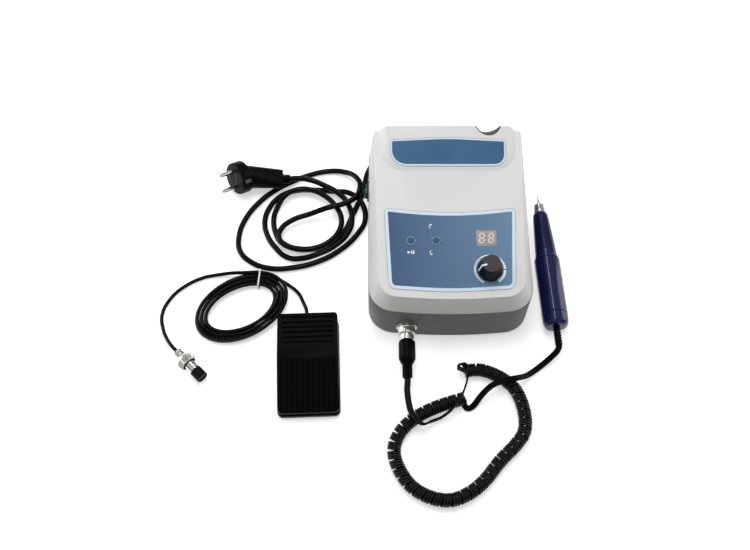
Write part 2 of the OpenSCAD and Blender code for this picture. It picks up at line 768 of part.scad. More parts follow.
module speed_knob() {
    well = knob_top_r - 1;
    color("#151516") on_plate(knob_u, knob_s, label_t + knob_gap) lathe([
        [shaft_r + run_fit, 3], [pot_bush_r + 2, 3], [pot_bush_r + 2, 0], [knob_r, 0], [knob_r, 3.4],
        [knob_r - 0.5, 4.6], [knob_top_r + 0.7, knob_h - 2], [knob_top_r, knob_h - 0.6],
        [knob_top_r - 0.6, knob_h], [well, knob_h], [well, knob_h - 1],
        [shaft_r + run_fit, knob_h - 1]]);
}

module knob_cap() {
    color("#464644") on_plate(knob_u, knob_s, label_t + knob_gap + knob_h - 1)
        cylinder(r = knob_top_r - 1 - run_fit, h = 0.9);
}

module potentiometer() {
    color("#7d8a72") on_plate(knob_u, knob_s, -board_depth) difference() {
        union() {
            cylinder(r = pot_r, h = pot_h);
            cylinder(r = pot_bush_r, h = board_depth + label_t + 1.6);
        }
        translate([0, 0, 2]) cylinder(r = shaft_r + run_fit, h = board_depth + 10);
    }
}

module pot_shaft() {
    color("silver") on_plate(knob_u, knob_s, -board_depth + 2 + free_gap)
        cylinder(r = shaft_r, h = board_depth + label_t + knob_gap + knob_h - 4);
}

module control_board() {
    color("#2f6b3c") on_plate(0, 0, -board_depth - board_t) {
        translate([-board_w/2, board_s, 0]) cube([board_w, board_len, board_t]);
        translate([-20, board_s + 12, -4]) cube([14, 14, 4 + eps]);
        translate([-44, board_s + 10, -9]) cube([16, 10, 9 + eps]);
        for (i = [0:2]) translate([8 + 9*i, board_s + 64, -8]) cylinder(r = 3.2, h = 8 + eps);
    }
}

module power_supply() {
    floor_z = foot_h + base_wall;
    color("#3d7a46") in_unit() translate([-psu_w/2, psu_y, floor_z]) {
        for (x = [psu_hole, psu_w - psu_hole]) for (y = [psu_hole, psu_len - psu_hole])
            translate([x, y, 0]) cylinder(r = board_post_r, h = psu_post + eps);
        translate([0, 0, psu_post]) cube([psu_w, psu_len, board_t]);
        translate([0, 0, psu_post + board_t - eps]) {
            translate([0.08*psu_w, 0.2*psu_len, 0]) cube([0.29*psu_w, 0.48*psu_len, psu_part_h]);
            translate([0.44*psu_w, 0.17*psu_len, 0]) cube([0.04*psu_w, 0.66*psu_len, 0.9*psu_part_h]);
            for (i = [0:2]) translate([(0.62 + 0.125*i)*psu_w, 0.69*psu_len, 0])
                cylinder(r = 0.048*psu_w, h = 0.88*psu_part_h);
            translate([0.6*psu_w, 0.17*psu_len, 0]) cube([0.31*psu_w, 0.26*psu_len, 0.58*psu_part_h]);
        }
    }
}

// Power switch: bezel on the wall and its body behind it, open in front for the rocker
module switch_bezel() {
    color("#202022") at_switch() difference() {
        union() {
            translate([-switch_h/2, -switch_w/2, 0]) cube([switch_h, switch_w, bezel_t]);
            translate([bezel_rim - switch_h/2, bezel_rim - switch_w/2, -18])
                cube([switch_h - 2*bezel_rim, switch_w - 2*bezel_rim, 18 + eps]);
        }
        translate([-rocker_r - free_gap, -rocker_w/2 - free_gap + 0.4, -9.4])
            cube([2*(rocker_r + free_gap), rocker_w + 2*free_gap - 0.8, 20]);
    }
}

// Rocker: a shallow V face on a round back, pressed to one side
module power_rocker() {
    color("#2d5a45") at_switch() translate([0, 0, rocker_pivot]) rotate([0, rocker_tilt, 0])
        intersection() {
            rotate([90, 0, 0]) cylinder(r = rocker_r, h = rocker_w - 0.8, center = true);
            rotate([90, 0, 0]) linear_extrude(rocker_w, center = true)
                polygon([[-9, -5], [9, -5], [9, 4.4], [0, 2.4], [-9, 4.4]]);
        }
}

module fuse_holder() {
    color("#1e1e20") at_rear(fuse_x) {
        cylinder(r = fuse_r, h = 2);
        translate([0, 0, 2 - eps]) cylinder(r = fuse_r*0.75, h = 7);
        translate([0, 0, -22]) cylinder(r = fuse_r*0.8, h = 22 + eps);
    }
}

module mains_gland() {
    color("#202022") at_rear(gland_x) difference() {
        union() {
            translate([0, 0, -6]) cylinder(r = gland_r*0.7, h = 6 + eps);
            lathe([[0, 0], [gland_r + 1, 0], [gland_r + 1, 2], [gland_r*0.8, 3],
                [mains_d/2 + 1.2, gland_len], [0, gland_len]]);
            for (i = [0:3]) translate([0, 0, 6 + 4*i]) cylinder(r = gland_r - 0.5*i, h = 2);
        }
        translate([0, 0, -8]) cylinder(r = mains_d/2 - 0.4, h = 8 + gland_len - 0.4);
    }
}

// Round panel socket with a threaded barrel, its well open to the front
module panel_socket() {
    difference() {
        union() {
            cylinder(r = flange_r, h = flange_t);
            translate([0, 0, -socket_tail]) cylinder(r = barrel_r, h = socket_tail + flange_t + barrel_len);
        }
        translate([0, 0, flange_t + barrel_len - socket_well_len])
            cylinder(r = socket_well_r, h = socket_well_len + 1);
    }
}

module motor_socket() { color("#8e8e90") at_front() panel_socket(); }

module pedal_socket() { color("#8e8e90") at_rear(pedal_socket_x) panel_socket(); }

module socket_nut() {
    translate([0, 0, -nut_t]) difference() {
        cylinder(r = barrel_r + 3.2, h = nut_t, $fn = 6);
        translate([0, 0, -1]) cylinder(r = barrel_r + run_fit, h = nut_t + 2, $fn = 64);
    }
}

module socket_nuts() {
    color("silver") {
        at_front() translate([0, 0, -socket_pad]) socket_nut();
        at_rear(pedal_socket_x) translate([0, 0, -base_wall]) socket_nut();
    }
}

module motor_plug_shell() {
    start = flange_t + barrel_len - socket_well_len + free_gap;
    color("silver") at_front() lathe([[0, start], [plug_nose_r, start], [plug_nose_r, ring_end + free_gap],
        [barrel_r - 0.4, ring_end + free_gap], [barrel_r - 0.4, ring_end + 2.4],
        [ring_r, ring_end + 2.4], [ring_r, ring_end + 5], [shell_tail_r, ring_end + 5.4],
        [shell_tail_r, shell_end + shell_tail], [0, shell_end + shell_tail]]);
}

module motor_coupling_ring() {
    color("silver") at_front() lathe([[barrel_r + seat_gap, ring_start], [ring_r - 0.4, ring_start],
        [ring_r, ring_start + 0.6], [ring_r, ring_end - 0.8], [ring_r - 0.8, ring_end],
        [plug_nose_r + seat_gap, ring_end], [plug_nose_r + seat_gap, ring_end - ring_lip + 0.3],
        [barrel_r + seat_gap, ring_end - ring_lip + 0.3]]);
}

module motor_plug_boot() {
    color("#161617") at_front() translate([0, 0, shell_end]) lathe([[shell_tail_r + run_fit, 0],
        [boot_r - 1.6, 0], [boot_r - 0.4, 0.8], [boot_r, 2.4], [boot_r, 18], [boot_r - 0.8, 21.5],
        [sleeve_r + 0.9, boot_len], [0, boot_len], [0, shell_tail + seat_gap],
        [shell_tail_r + run_fit, shell_tail + seat_gap]]);
}

module motor_cord_sleeve() {
    color("#161617") at_front() translate([0, 0, shell_end + boot_len])
        ribbed_sleeve(sleeve_r, sleeve_len, sleeve_ribs, 0);
}

module motor_lead() { color("#19191a") skin(cord_rings(smooth(motor_route, 2), ribbon_section)); }

module curly_cord() { color("#19191a") skin(curl_rings); }

module handpiece_lead() { color("#19191a") skin(cord_rings(smooth(hand_route, 2), ribbon_section)); }

module handpiece_sleeve() {
    color("#161617") in_handpiece() translate([0, 0, -hand_sleeve_len])
        ribbed_sleeve(hand_sleeve_r, hand_sleeve_len, hand_sleeve_ribs, 0);
}

module rear_cap() {
    color("#1b1f45") in_handpiece() lathe([[0, 0], [housing_r - 5.4, 0], [housing_r - 3, 1],
        [housing_r - 1.2, 3.6], [housing_r - 0.2, 8], [housing_r, cap_len],
        [housing_bore - run_fit, cap_len],
        [housing_bore - run_fit, cap_len + bearing_shelf + rear_bearing_w],
        [rear_bearing_r + run_fit, cap_len + bearing_shelf + rear_bearing_w],
        [rear_bearing_r + run_fit, cap_len + bearing_shelf],
        [spindle_r + 1, cap_len + bearing_shelf], [spindle_r + 1, cap_len - 1], [0, cap_len - 1]]);
}

module motor_housing() {
    color("#1b1f45") in_handpiece() lathe([[housing_bore, cap_len + seat_gap],
        [housing_r, cap_len + seat_gap], [housing_r, housing_front - 2.4],
        [housing_r - 0.5, housing_front - 0.8], [grip_rear_r + 0.4, housing_front],
        [carrier_r, housing_front], [carrier_r, nose_start - seat_gap],
        [carrier_bore, nose_start - seat_gap], [carrier_bore, housing_front - 6],
        [housing_bore, housing_front - 6]]);
}

module collar_ring() {
    color("silver") in_handpiece() translate([0, 0, housing_front]) difference() {
        cylinder(r = grip_rear_r + 0.5, h = collar_t);
        translate([0, 0, -1]) cylinder(r = carrier_r + run_fit, h = collar_t + 2);
    }
}

// Tapered grip with fine grooves round its middle
module front_grip() {
    function grip_at(z) = grip_rear_r + (grip_front_r - grip_rear_r)*z/grip_len;
    pitch = 2.4;
    first = grip_len*0.28;
    color("#1b1f45") in_handpiece() translate([0, 0, grip_start]) lathe([
        [carrier_r + seat_gap, 0], [grip_rear_r - 0.4, 0], [grip_rear_r, 0.5],
        for (i = [0:grip_grooves - 1]) let (z = first + i*pitch) each [
            [grip_at(z), z], [grip_at(z) - 0.35, z + 0.5], [grip_at(z + 1), z + 1]],
        [grip_at(grip_len - 4), grip_len - 4], [grip_front_r - 0.5, grip_len - 1.2],
        [nose_r + 0.2, grip_len], [carrier_r + seat_gap, grip_len]]);
}

module nose_piece() {
    color("#b9b9bc") in_handpiece() translate([0, 0, nose_start]) lathe([
        [spindle_r + 0.5, -2.6], [carrier_bore - run_fit, -2.6], [carrier_bore - run_fit, 0],
        [nose_r, 0], [nose_r, nose_len - 4.4], [nose_r - 0.7, nose_len - 4.2],
        [nose_r - 0.7, nose_len - 2.6], [nose_r, nose_len - 2.4], [nose_r, nose_len - 1],
        [nose_r - 1, nose_len], [spindle_r + 0.5, nose_len]]);
}

// Spindle with the collet that holds the tool's shank
module spindle() {
    start = cap_len + bearing_shelf;
    color("#c4c4c6") in_handpiece() difference() {
        translate([0, 0, start - 2]) cylinder(r = spindle_r, h = nose_end + 1.4 - start + 2);
        translate([0, 0, nose_end - 20]) cylinder(r = shank_r + run_fit/2, h = 30);
    }
}

module tool() {
    color("#c9c9cb") in_handpiece() translate([0, 0, nose_end - 19.5]) lathe([[0, 0], [shank_r, 0],
        [shank_r, 19.5 + tool_len*0.4], [0.6, 19.5 + tool_len*0.5], [0.45, 19.5 + tool_len - 1],
        [0, 19.5 + tool_len]]);
}

module bearing(outer, width) {
    difference() {
        cylinder(r = outer, h = width);
        translate([0, 0, -1]) cylinder(r = spindle_r + run_fit, h = width + 2);
    }
}

module bearings() {
    color("#a8a8aa") in_handpiece() {
        translate([0, 0, cap_len + bearing_shelf]) bearing(rear_bearing_r, rear_bearing_w);
        translate([0, 0, nose_start - 2.6 - front_bearing_w]) bearing(carrier_bore - run_fit, front_bearing_w);
    }
}

module rotor() {
    start = cap_len + bearing_shelf + rear_bearing_w + stator_gap;
    color("#8d7f6a") in_handpiece() translate([0, 0, start + 2]) difference() {
        cylinder(r = rotor_r, h = housing_front - 12 - start);
        translate([0, 0, -1]) cylinder(r = spindle_r + run_fit/2, h = housing_len);
    }
}

module stator() {
    start = cap_len + bearing_shelf + rear_bearing_w + stator_gap;
    color("#a86a3d") in_handpiece() translate([0, 0, start]) difference() {
        cylinder(r = housing_bore - run_fit, h = housing_front - 8 - start);
        translate([0, 0, -1]) cylinder(r = rotor_r + free_gap, h = housing_len);
    }
}

// Tray of the pedal with the two lugs that carry the hinge pin
module pedal_base() {
    function plan(inset) = let (x = pedal_w/2 - inset, y = pedal_len/2 - inset, r = max(6 - inset, 1))
        rounded([[-x, -y, r], [x, -y, r], [x, y, r], [-x, y, r]]);
    color("#1a1a1b") in_pedal() difference() {
        union() {
            difference() {
                union() {
                    translate([0, 0, pedal_foot_h]) linear_extrude(tray_h) polygon(plan(0));
                    translate([0, 0, lip_top - eps]) linear_extrude(rim_top - lip_top) polygon(plan(rim_inset));
                }
                translate([0, 0, tray_top]) linear_extrude(rim_top) polygon(plan(rim_inset + tray_wall));
            }
            translate([pedal_gland_x - gland_boss_w/2, pedal_len/2 - gland_boss_len, tray_top - eps])
                cube([gland_boss_w, gland_boss_len, gland_boss_top - tray_top]);
            for (x = [-lug_x - lug_w, lug_x]) {
                translate([x, treadle_bend - lug_r, tray_top - eps])
                    cube([lug_w, 2*lug_r, pivot_z - tray_top]);
                translate([x, treadle_bend, pivot_z]) rotate([0, 90, 0]) cylinder(r = lug_r, h = lug_w);
            }
        }
        translate([0, treadle_bend, pivot_z]) rotate([0, 90, 0])
            cylinder(r = hinge_pin_r + eps, h = pedal_w + 2, center = true);
        translate([pedal_gland_x, pedal_len/2 - gland_boss_len - 1, pedal_gland_z]) rotate([-90, 0, 0])
            cylinder(r = pedal_gland_r + run_fit, h = gland_boss_len + 4);
    }
}

// Treadle: flat rear with grooves across, sloping front with grooves along it
module pedal_treadle() {
    slope = atan((pedal_h - treadle_front_h)/(treadle_bend - treadle_front));
    inner_front = treadle_front_h - treadle_t;
    color("#232324") in_pedal() difference() {
        union() {
            difference() {
                intersection() {
                    rotate([90, 0, 90]) linear_extrude(treadle_w, center = true)
                        polygon(rounded([[treadle_front, treadle_nose, 0], [treadle_front, treadle_front_h, 2],
                            [treadle_bend, pedal_h, 12], [treadle_rear, pedal_h, 2],
                            [treadle_rear, treadle_foot, 0], [treadle_bend, treadle_foot, 0]]));
                    linear_extrude(pedal_h + 1) polygon(rounded([[-treadle_w/2, treadle_front, treadle_r],
                        [treadle_w/2, treadle_front, treadle_r], [treadle_w/2, treadle_rear, treadle_r],
                        [-treadle_w/2, treadle_rear, treadle_r]]));
                }
                rotate([90, 0, 90]) linear_extrude(treadle_w - 2*treadle_wall, center = true)
                    polygon([[treadle_front + treadle_wall, 0], [treadle_front + treadle_wall, inner_front],
                        [treadle_bend, pedal_h - treadle_t], [treadle_rear - treadle_wall, pedal_h - treadle_t],
                        [treadle_rear - treadle_wall, 0]]);
                translate([pedal_gland_x - gland_boss_w/2 - free_gap, treadle_rear - treadle_wall - 1, 0])
                    cube([gland_boss_w + 2*free_gap, treadle_wall + 4, gland_boss_top + free_gap]);
            }
            translate([0, spring_y, spring_top + seat_gap]) cylinder(r = spring_r + 1.5,
                h = inner_front + 4 - spring_top);
        }
        for (i = [0:cross_grooves - 1]) translate([groove_margin - treadle_w/2,
            cross_start + i*cross_pitch - groove_w/2, pedal_h - groove_t])
            cube([treadle_w - 2*groove_margin, groove_w, 4]);
        translate([0, treadle_front, treadle_front_h]) rotate([slope, 0, 0])
            for (i = [0:long_grooves - 1]) translate([(i - (long_grooves - 1)/2)*long_pitch - groove_w/2,
                -2, -groove_t]) cube([groove_w, (treadle_bend - treadle_front)/cos(slope) - 1, 4]);
        translate([0, treadle_bend, pivot_z]) rotate([0, 90, 0])
            cylinder(r = hinge_pin_r + run_fit, h = pedal_w, center = true);
    }
}

module pedal_hinge_pin() {
    color("silver") in_pedal() translate([0, treadle_bend, pivot_z]) rotate([0, 90, 0])
        cylinder(r = hinge_pin_r, h = treadle_w - 2*free_gap, center = true);
}

module pedal_spring() {
    rise = spring_top - tray_top - spring_wire;
    steps = spring_turns*8;
    line = [for (k = [0:steps]) let (q = turned([spring_r - spring_wire/2, 0], 45*k))
        [q[0], q[1], tray_top + spring_wire/2 + rise*k/steps]];
    color("silver") in_pedal() translate([0, spring_y, 0])
        skin(cord_rings(line, round_section(spring_wire/2 - 0.02, 6)));
}

module pedal_switch() {
    color("#2b2b2d") in_pedal() translate([0, switch_body_y, tray_top]) {
        translate([-10, -3.2, 0]) cube([20, 6.4, 8]);
        translate([3, 0, 8 - eps]) cylinder(r = 1.5, h = 3);
    }
}

module pedal_feet() {
    color("#1d1d1e") in_pedal() for (x = [-1, 1]) for (y = [-1, 1])
        translate([x*(pedal_w/2 - 9), y*(pedal_len/2 - 10), 0]) cylinder(r = pedal_foot_r, h = pedal_foot_h);
}

module pedal_gland() {
    color("#1a1a1b") in_pedal() translate([pedal_gland_x, pedal_len/2 - gland_boss_len, pedal_gland_z])
        rotate([-90, 0, 0]) {
            cylinder(r = pedal_gland_r, h = gland_boss_len + pedal_gland_len - 2);
            cylinder(r = pedal_d/2 + 0.6, h = gland_boss_len + pedal_gland_len);
        }
}

module pedal_cord_lead() { color("#19191a") skin(cord_rings(smooth(pedal_route, 2), round_section(pedal_d/2, 8))); }

module pedal_cord_coil() { color("#19191a") skin(cord_rings(coil_line, round_section(pedal_d/2, 6))); }

module pedal_cord_tail() { color("#19191a") skin(cord_rings(smooth(tail_route, 2), round_section(pedal_d/2, 8))); }

// Wire tie round all loops, square to them
module cord_tie() {
    a = coil_start + 26;
    bundle = coil_pitch*pedal_loops + pedal_d;
    outer = turned([coil_half_len*cos(a), coil_half_w*sin(a)], coil_turn);
    along = turned([-coil_half_len*sin(a), coil_half_w*cos(a)], coil_turn);
    height = coil_layer + pedal_d + 2*seat_gap;
    start = -pedal_d/2 - tie_slack;
    color("#e8e8e6") translate([coil_x + outer[0], coil_y + outer[1], 0])
        rotate([0, 0, atan2(along[1], along[0])])
        rotate([90, 0, 90]) linear_extrude(tie_w, center = true) difference() {
            translate([start - tie_t, 0]) square([bundle + 2*(tie_slack + tie_t), height + 2*tie_t]);
            translate([start, tie_t]) square([bundle + 2*tie_slack, height]);
        }
}

// Plug of the pedal cord: clamp, body and black insert in one, the coupling nut over it
module pedal_plug_body() {
    color("#2a2a2b") in_pedal_plug() lathe([[0, 0], [pedal_d/2 + 2.4, 0], [pedal_d/2 + 3, 1],
        [pedal_d/2 + 3, 3], [pedal_d/2 + 2.2, 3.6], [pedal_d/2 + 3, 4.2], [pedal_d/2 + 3, clamp_len],
        [body_r, clamp_len], [body_r, body_len], [body_r + 0.2, body_len + 0.4],
        [body_r + 0.2, body_len + insert_len - 0.4], [body_r - 0.4, body_len + insert_len],
        [0, body_len + insert_len]]);
}

module pedal_coupling_nut() {
    color("silver") in_pedal_plug() translate([0, 0, nut_start]) lathe([[body_r + run_fit, 0],
        [nut_r - 2.6, 0], [nut_r - 0.6, 3.4], [nut_r, 4.4], [nut_r, nut_len - 0.6],
        [nut_r - 0.6, nut_len], [nut_r - 1.4, nut_len], [nut_r - 1.4, nut_len - 5],
        [body_r + run_fit, nut_len - 5]]);
}

// Mains plug: round head, flat grip and ribbed relief moulded in one
module mains_plug() {
    color("#151516") difference() {
        union() {
            at_plug_face() translate([0, 0, -plug_head_len]) lathe([[0, 0], [plug_r - 0.8, 0], [plug_r, 0.8],
                [plug_r, plug_head_len - 1.5], [plug_r - 1.5, plug_head_len], [0, plug_head_len]]);
            hull() {
                at_plug_face() translate([0, 0, 1 - plug_head_len]) cylinder(r = plug_r - 4.5, h = 1, $fn = hull_fn);
                along_grip() for (y = [-5, 5]) translate([0, y, grip_end_x - 4])
                    cylinder(r = 6.5, h = 4, $fn = hull_fn);
            }
            along_grip() translate([0, 0, grip_end_x - eps])
                ribbed_sleeve(mains_d/2 + 2.4, relief_len, relief_ribs, 0);
        }
        at_plug_face() for (y = [-1, 1]) translate([0, y*plug_pin_pitch/2, -pin_root - seat_gap])
            cylinder(r = pin_root_r + eps, h = pin_root + 1);
        at_plug_face() for (x = [-1, 1]) translate([x*plug_r, 0, -plug_head_len/2])
            cube([2*(clip_sink + clip_t + eps), clip_w + 2*eps, clip_len + 2*eps], center = true);
    }
}

module plug_pins() {
    color("#d8d8d6") at_plug_face() for (y = [-1, 1]) translate([0, y*plug_pin_pitch/2, 0])
        lathe([[0, -pin_root], [pin_root_r, -pin_root], [pin_root_r, free_gap], [plug_pin_r, free_gap],
            [plug_pin_r, plug_pin_len - 1.5], [plug_pin_r - 1.4, plug_pin_len], [0, plug_pin_len]]);
}

module earth_clips() {
    color("#d8d8d6") at_plug_face() for (x = [-1, 1])
        translate([x*(plug_r - clip_sink - clip_t/2), 0, -plug_head_len/2])
            cube([clip_t, clip_w, clip_len], center = true);
}

module mains_cord() { color("#161617") skin(cord_rings(smooth(mains_route, 1), round_section(mains_d/2, 8))); }

lower_base();
upper_cover();
panel_label();
badge_label();
rest_pad();
rubber_feet();
case_screws();
display_window();
display_module();
start_button();
direction_button();
button_switches();
speed_knob();
knob_cap();
potentiometer();
pot_shaft();
control_board();
power_supply();
switch_bezel();
power_rocker();
fuse_holder();
mains_gland();
motor_socket();
pedal_socket();
socket_nuts();
motor_plug_shell();
motor_coupling_ring();
motor_plug_boot();
motor_cord_sleeve();
motor_lead();
curly_cord();
handpiece_lead();
handpiece_sleeve();
rear_cap();
motor_housing();
collar_ring();
front_grip();
nose_piece();
spindle();
tool();
bearings();
rotor();
stator();
pedal_base();
pedal_treadle();
pedal_hinge_pin();
pedal_spring();
pedal_switch();
pedal_feet();
pedal_gland();
pedal_cord_lead();
pedal_cord_coil();
pedal_cord_tail();
cord_tie();
pedal_plug_body();
pedal_coupling_nut();
mains_plug();
plug_pins();
earth_clips();
mains_cord();
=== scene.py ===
import math
import bpy
import bmesh
from mathutils import Matrix, Vector
from mathutils.bvhtree import BVHTree


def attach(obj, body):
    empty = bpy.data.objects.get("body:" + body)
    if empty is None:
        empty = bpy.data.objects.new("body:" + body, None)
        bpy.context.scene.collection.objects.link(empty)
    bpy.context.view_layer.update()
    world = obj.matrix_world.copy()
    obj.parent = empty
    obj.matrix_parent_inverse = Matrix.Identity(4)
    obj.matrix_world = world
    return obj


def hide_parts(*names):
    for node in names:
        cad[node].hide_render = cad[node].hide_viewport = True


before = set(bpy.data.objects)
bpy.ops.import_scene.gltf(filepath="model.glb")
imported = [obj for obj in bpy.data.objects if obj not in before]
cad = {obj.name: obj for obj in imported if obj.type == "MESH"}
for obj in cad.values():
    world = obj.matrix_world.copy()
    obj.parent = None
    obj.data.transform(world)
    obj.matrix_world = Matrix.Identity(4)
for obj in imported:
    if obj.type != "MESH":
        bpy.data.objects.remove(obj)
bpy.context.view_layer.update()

# Camera over the front of the set, looking down at 62 degrees, as the picture was taken. It stands
# one metre from the point of the bench that it looks at, under the left side of the control unit.
view_x, view_y, tilt_down = -0.051, 0.0133, math.radians(62)
lens = bpy.data.cameras.new("camera")
lens.lens = 43.49
lens.sensor_width = 36.0
lens.clip_start = 0.01
camera = bpy.data.objects.new("camera", lens)
camera.location = (view_x, view_y - math.cos(tilt_down), math.sin(tilt_down))
camera.rotation_euler = (math.pi / 2 - tilt_down, 0, 0)
bpy.context.scene.collection.objects.link(camera)
bpy.context.scene.camera = camera
bpy.context.scene.view_settings.view_transform = "Standard"

# Bench top: a seamless sheet of white paper under the set. Only the paper is brightened for the
# camera and in reflections, so that the object keeps its own shadow on it.
bench_mesh = bpy.data.meshes.new("bench")
paper = bmesh.new()
bmesh.ops.create_grid(paper, x_segments=1, y_segments=1, size=4.0)
bmesh.ops.translate(paper, verts=paper.verts, vec=(0, 0, -0.0002))
paper.to_mesh(bench_mesh)
paper.free()
bench = bpy.data.objects.new("bench", bench_mesh)
bpy.context.scene.collection.objects.link(bench)
sheet_white = bpy.data.materials.new("bench_paper")
sheet_white.use_nodes = True
nodes, links = sheet_white.node_tree.nodes, sheet_white.node_tree.links
nodes["Principled BSDF"].inputs["Base Color"].default_value = (0.86, 0.86, 0.86, 1)
nodes["Principled BSDF"].inputs["Roughness"].default_value = 0.9
nodes["Principled BSDF"].inputs["Emission Color"].default_value = (1, 1, 1, 1)
rays = nodes.new("ShaderNodeLightPath")
seen = nodes.new("ShaderNodeMath")
seen.operation = "MAXIMUM"
links.new(rays.outputs["Is Camera Ray"], seen.inputs[0])
links.new(rays.outputs["Is Glossy Ray"], seen.inputs[1])
lift = nodes.new("ShaderNodeMath")
lift.operation = "MULTIPLY"
lift.inputs[1].default_value = 0.5
links.new(seen.outputs[0], lift.inputs[0])
links.new(lift.outputs[0], nodes["Principled BSDF"].inputs["Emission Strength"])
bench_mesh.materials.append(sheet_white)

# Room: an even white tent over the bench that polished pieces see as bright above and darker
# towards the horizon, a broad soft lamp overhead, one at each side, and a narrow strip that draws
# the thin bright lines on round glossy pieces.
world = bpy.data.worlds.new("room")
world.use_nodes = True
bpy.context.scene.world = world
nodes, links = world.node_tree.nodes, world.node_tree.links
where = nodes.new("ShaderNodeTexCoord")
split = nodes.new("ShaderNodeSeparateXYZ")
links.new(where.outputs["Generated"], split.inputs[0])
height = nodes.new("ShaderNodeMapRange")
height.inputs["From Min"].default_value = 0.05
height.inputs["From Max"].default_value = 0.75
height.inputs["To Min"].default_value = 0.12
height.inputs["To Max"].default_value = 0.55
links.new(split.outputs["Z"], height.inputs["Value"])
rays = nodes.new("ShaderNodeLightPath")
level = nodes.new("ShaderNodeMix")
level.inputs["A"].default_value = 0.22
links.new(rays.outputs["Is Glossy Ray"], level.inputs["Factor"])
links.new(height.outputs["Result"], level.inputs["B"])
clear = nodes.new("ShaderNodeMix")
clear.inputs["B"].default_value = 0.8
links.new(rays.outputs["Is Camera Ray"], clear.inputs["Factor"])
links.new(level.outputs["Result"], clear.inputs["A"])
links.new(clear.outputs["Result"], nodes["Background"].inputs["Strength"])
nodes["Background"].inputs["Color"].default_value = (1, 1, 1, 1)

for name, place, size, length, power in (("overhead", (-0.05, 0.55, 1.5), 1.3, 1.3, 15.4),
                                        ("left_side", (-1.25, 0.3, 0.42), 0.8, 0.8, 6.8),
                                        ("right_side", (1.3, 0.3, 0.42), 0.8, 0.8, 5.2),
                                        ("strip", (-0.12, 0.4, 1.2), 0.09, 1.2, 3.3)):
    lamp = bpy.data.lights.new(name, "AREA")
    lamp.shape = "RECTANGLE"
    lamp.size = size
    lamp.size_y = length
    lamp.energy = power
    holder = bpy.data.objects.new(name, lamp)
    holder.location = place
    if name != "strip":
        holder.rotation_euler = (Vector((0, 0, 0.03)) - Vector(place)).to_track_quat("-Z", "Y").to_euler()
    holder.visible_glossy = name != "overhead"
    bpy.context.scene.collection.objects.link(holder)


# Mains lead: 1.4 m of round black sheathed cord, laid in loose loops beside the unit and run
# round its rear corner to the gland in the rear wall. The sheath is smooth soft plastic.
def colour(code):
    parts = [int(code[i:i + 2], 16) / 255 for i in (1, 3, 5)]
    return [c / 12.92 if c <= 0.04045 else ((c + 0.055) / 1.055) ** 2.4 for c in parts] + [1.0]


def finish_like(name, code, rough, grain=0.2, grain_size=0.0006, vary=0.06, metal=0.0, coat=0.0, shine=0.5,
                second=None, stretch=(1, 1, 1), cloud_size=0.022):
    made = bpy.data.materials.new(name)
    made.use_nodes = True
    nodes, links = made.node_tree.nodes, made.node_tree.links
    surface = nodes["Principled BSDF"]
    surface.inputs["Metallic"].default_value = metal
    surface.inputs["Specular IOR Level"].default_value = shine
    surface.inputs["Coat Weight"].default_value = coat
    surface.inputs["Coat Roughness"].default_value = 0.1
    where = nodes.new("ShaderNodeTexCoord")
    turned = nodes.new("ShaderNodeMapping")
    turned.inputs["Scale"].default_value = stretch
    links.new(where.outputs["Object"], turned.inputs["Vector"])
    cloud = nodes.new("ShaderNodeTexNoise")
    cloud.inputs["Scale"].default_value = 1 / cloud_size
    cloud.inputs["Detail"].default_value = 4
    links.new(where.outputs["Object"], cloud.inputs["Vector"])
    tint = nodes.new("ShaderNodeMix")
    tint.data_type = "RGBA"
    base = colour(code)
    other = colour(second) if second else base
    tint.inputs["A"].default_value = [c * (1 - vary) for c in base[:3]] + [1]
    tint.inputs["B"].default_value = [min(c * (1 + vary), 1) for c in other[:3]] + [1]
    links.new(cloud.outputs["Fac"], tint.inputs["Factor"])
    links.new(tint.outputs["Result"], surface.inputs["Base Color"])
    dull = nodes.new("ShaderNodeMapRange")
    dull.inputs["To Min"].default_value = rough * 0.85
    dull.inputs["To Max"].default_value = min(rough * 1.15, 1)
    links.new(cloud.outputs["Fac"], dull.inputs["Value"])
    links.new(dull.outputs["Result"], surface.inputs["Roughness"])
    fine = nodes.new("ShaderNodeTexNoise")
    fine.inputs["Scale"].default_value = 1 / grain_size
    fine.inputs["Detail"].default_value = 2
    links.new(turned.outputs["Vector"], fine.inputs["Vector"])
    bump = nodes.new("ShaderNodeBump")
    bump.inputs["Strength"].default_value = grain
    bump.inputs["Distance"].default_value = 0.0002
    links.new(fine.outputs["Fac"], bump.inputs["Height"])
    links.new(bump.outputs["Normal"], surface.inputs["Normal"])
    return made


def wear(node, material):
    cad[node].data.materials.clear()
    cad[node].data.materials.append(material)


def finished(name, shape, material, body, place=None, sharp=32):
    if place is not None:
        bmesh.ops.transform(shape, matrix=place @ Matrix.Scale(0.001, 4), verts=shape.verts)
    mesh = bpy.data.meshes.new(name)
    shape.to_mesh(mesh)
    shape.free()
    for face in mesh.polygons:
        face.use_smooth = True
    mesh.set_sharp_from_angle(angle=math.radians(sharp))
    for one in material if isinstance(material, (list, tuple)) else [material]:
        mesh.materials.append(one)
    piece = bpy.data.objects.new(name, mesh)
    bpy.context.scene.collection.objects.link(piece)
    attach(piece, body)
    return piece


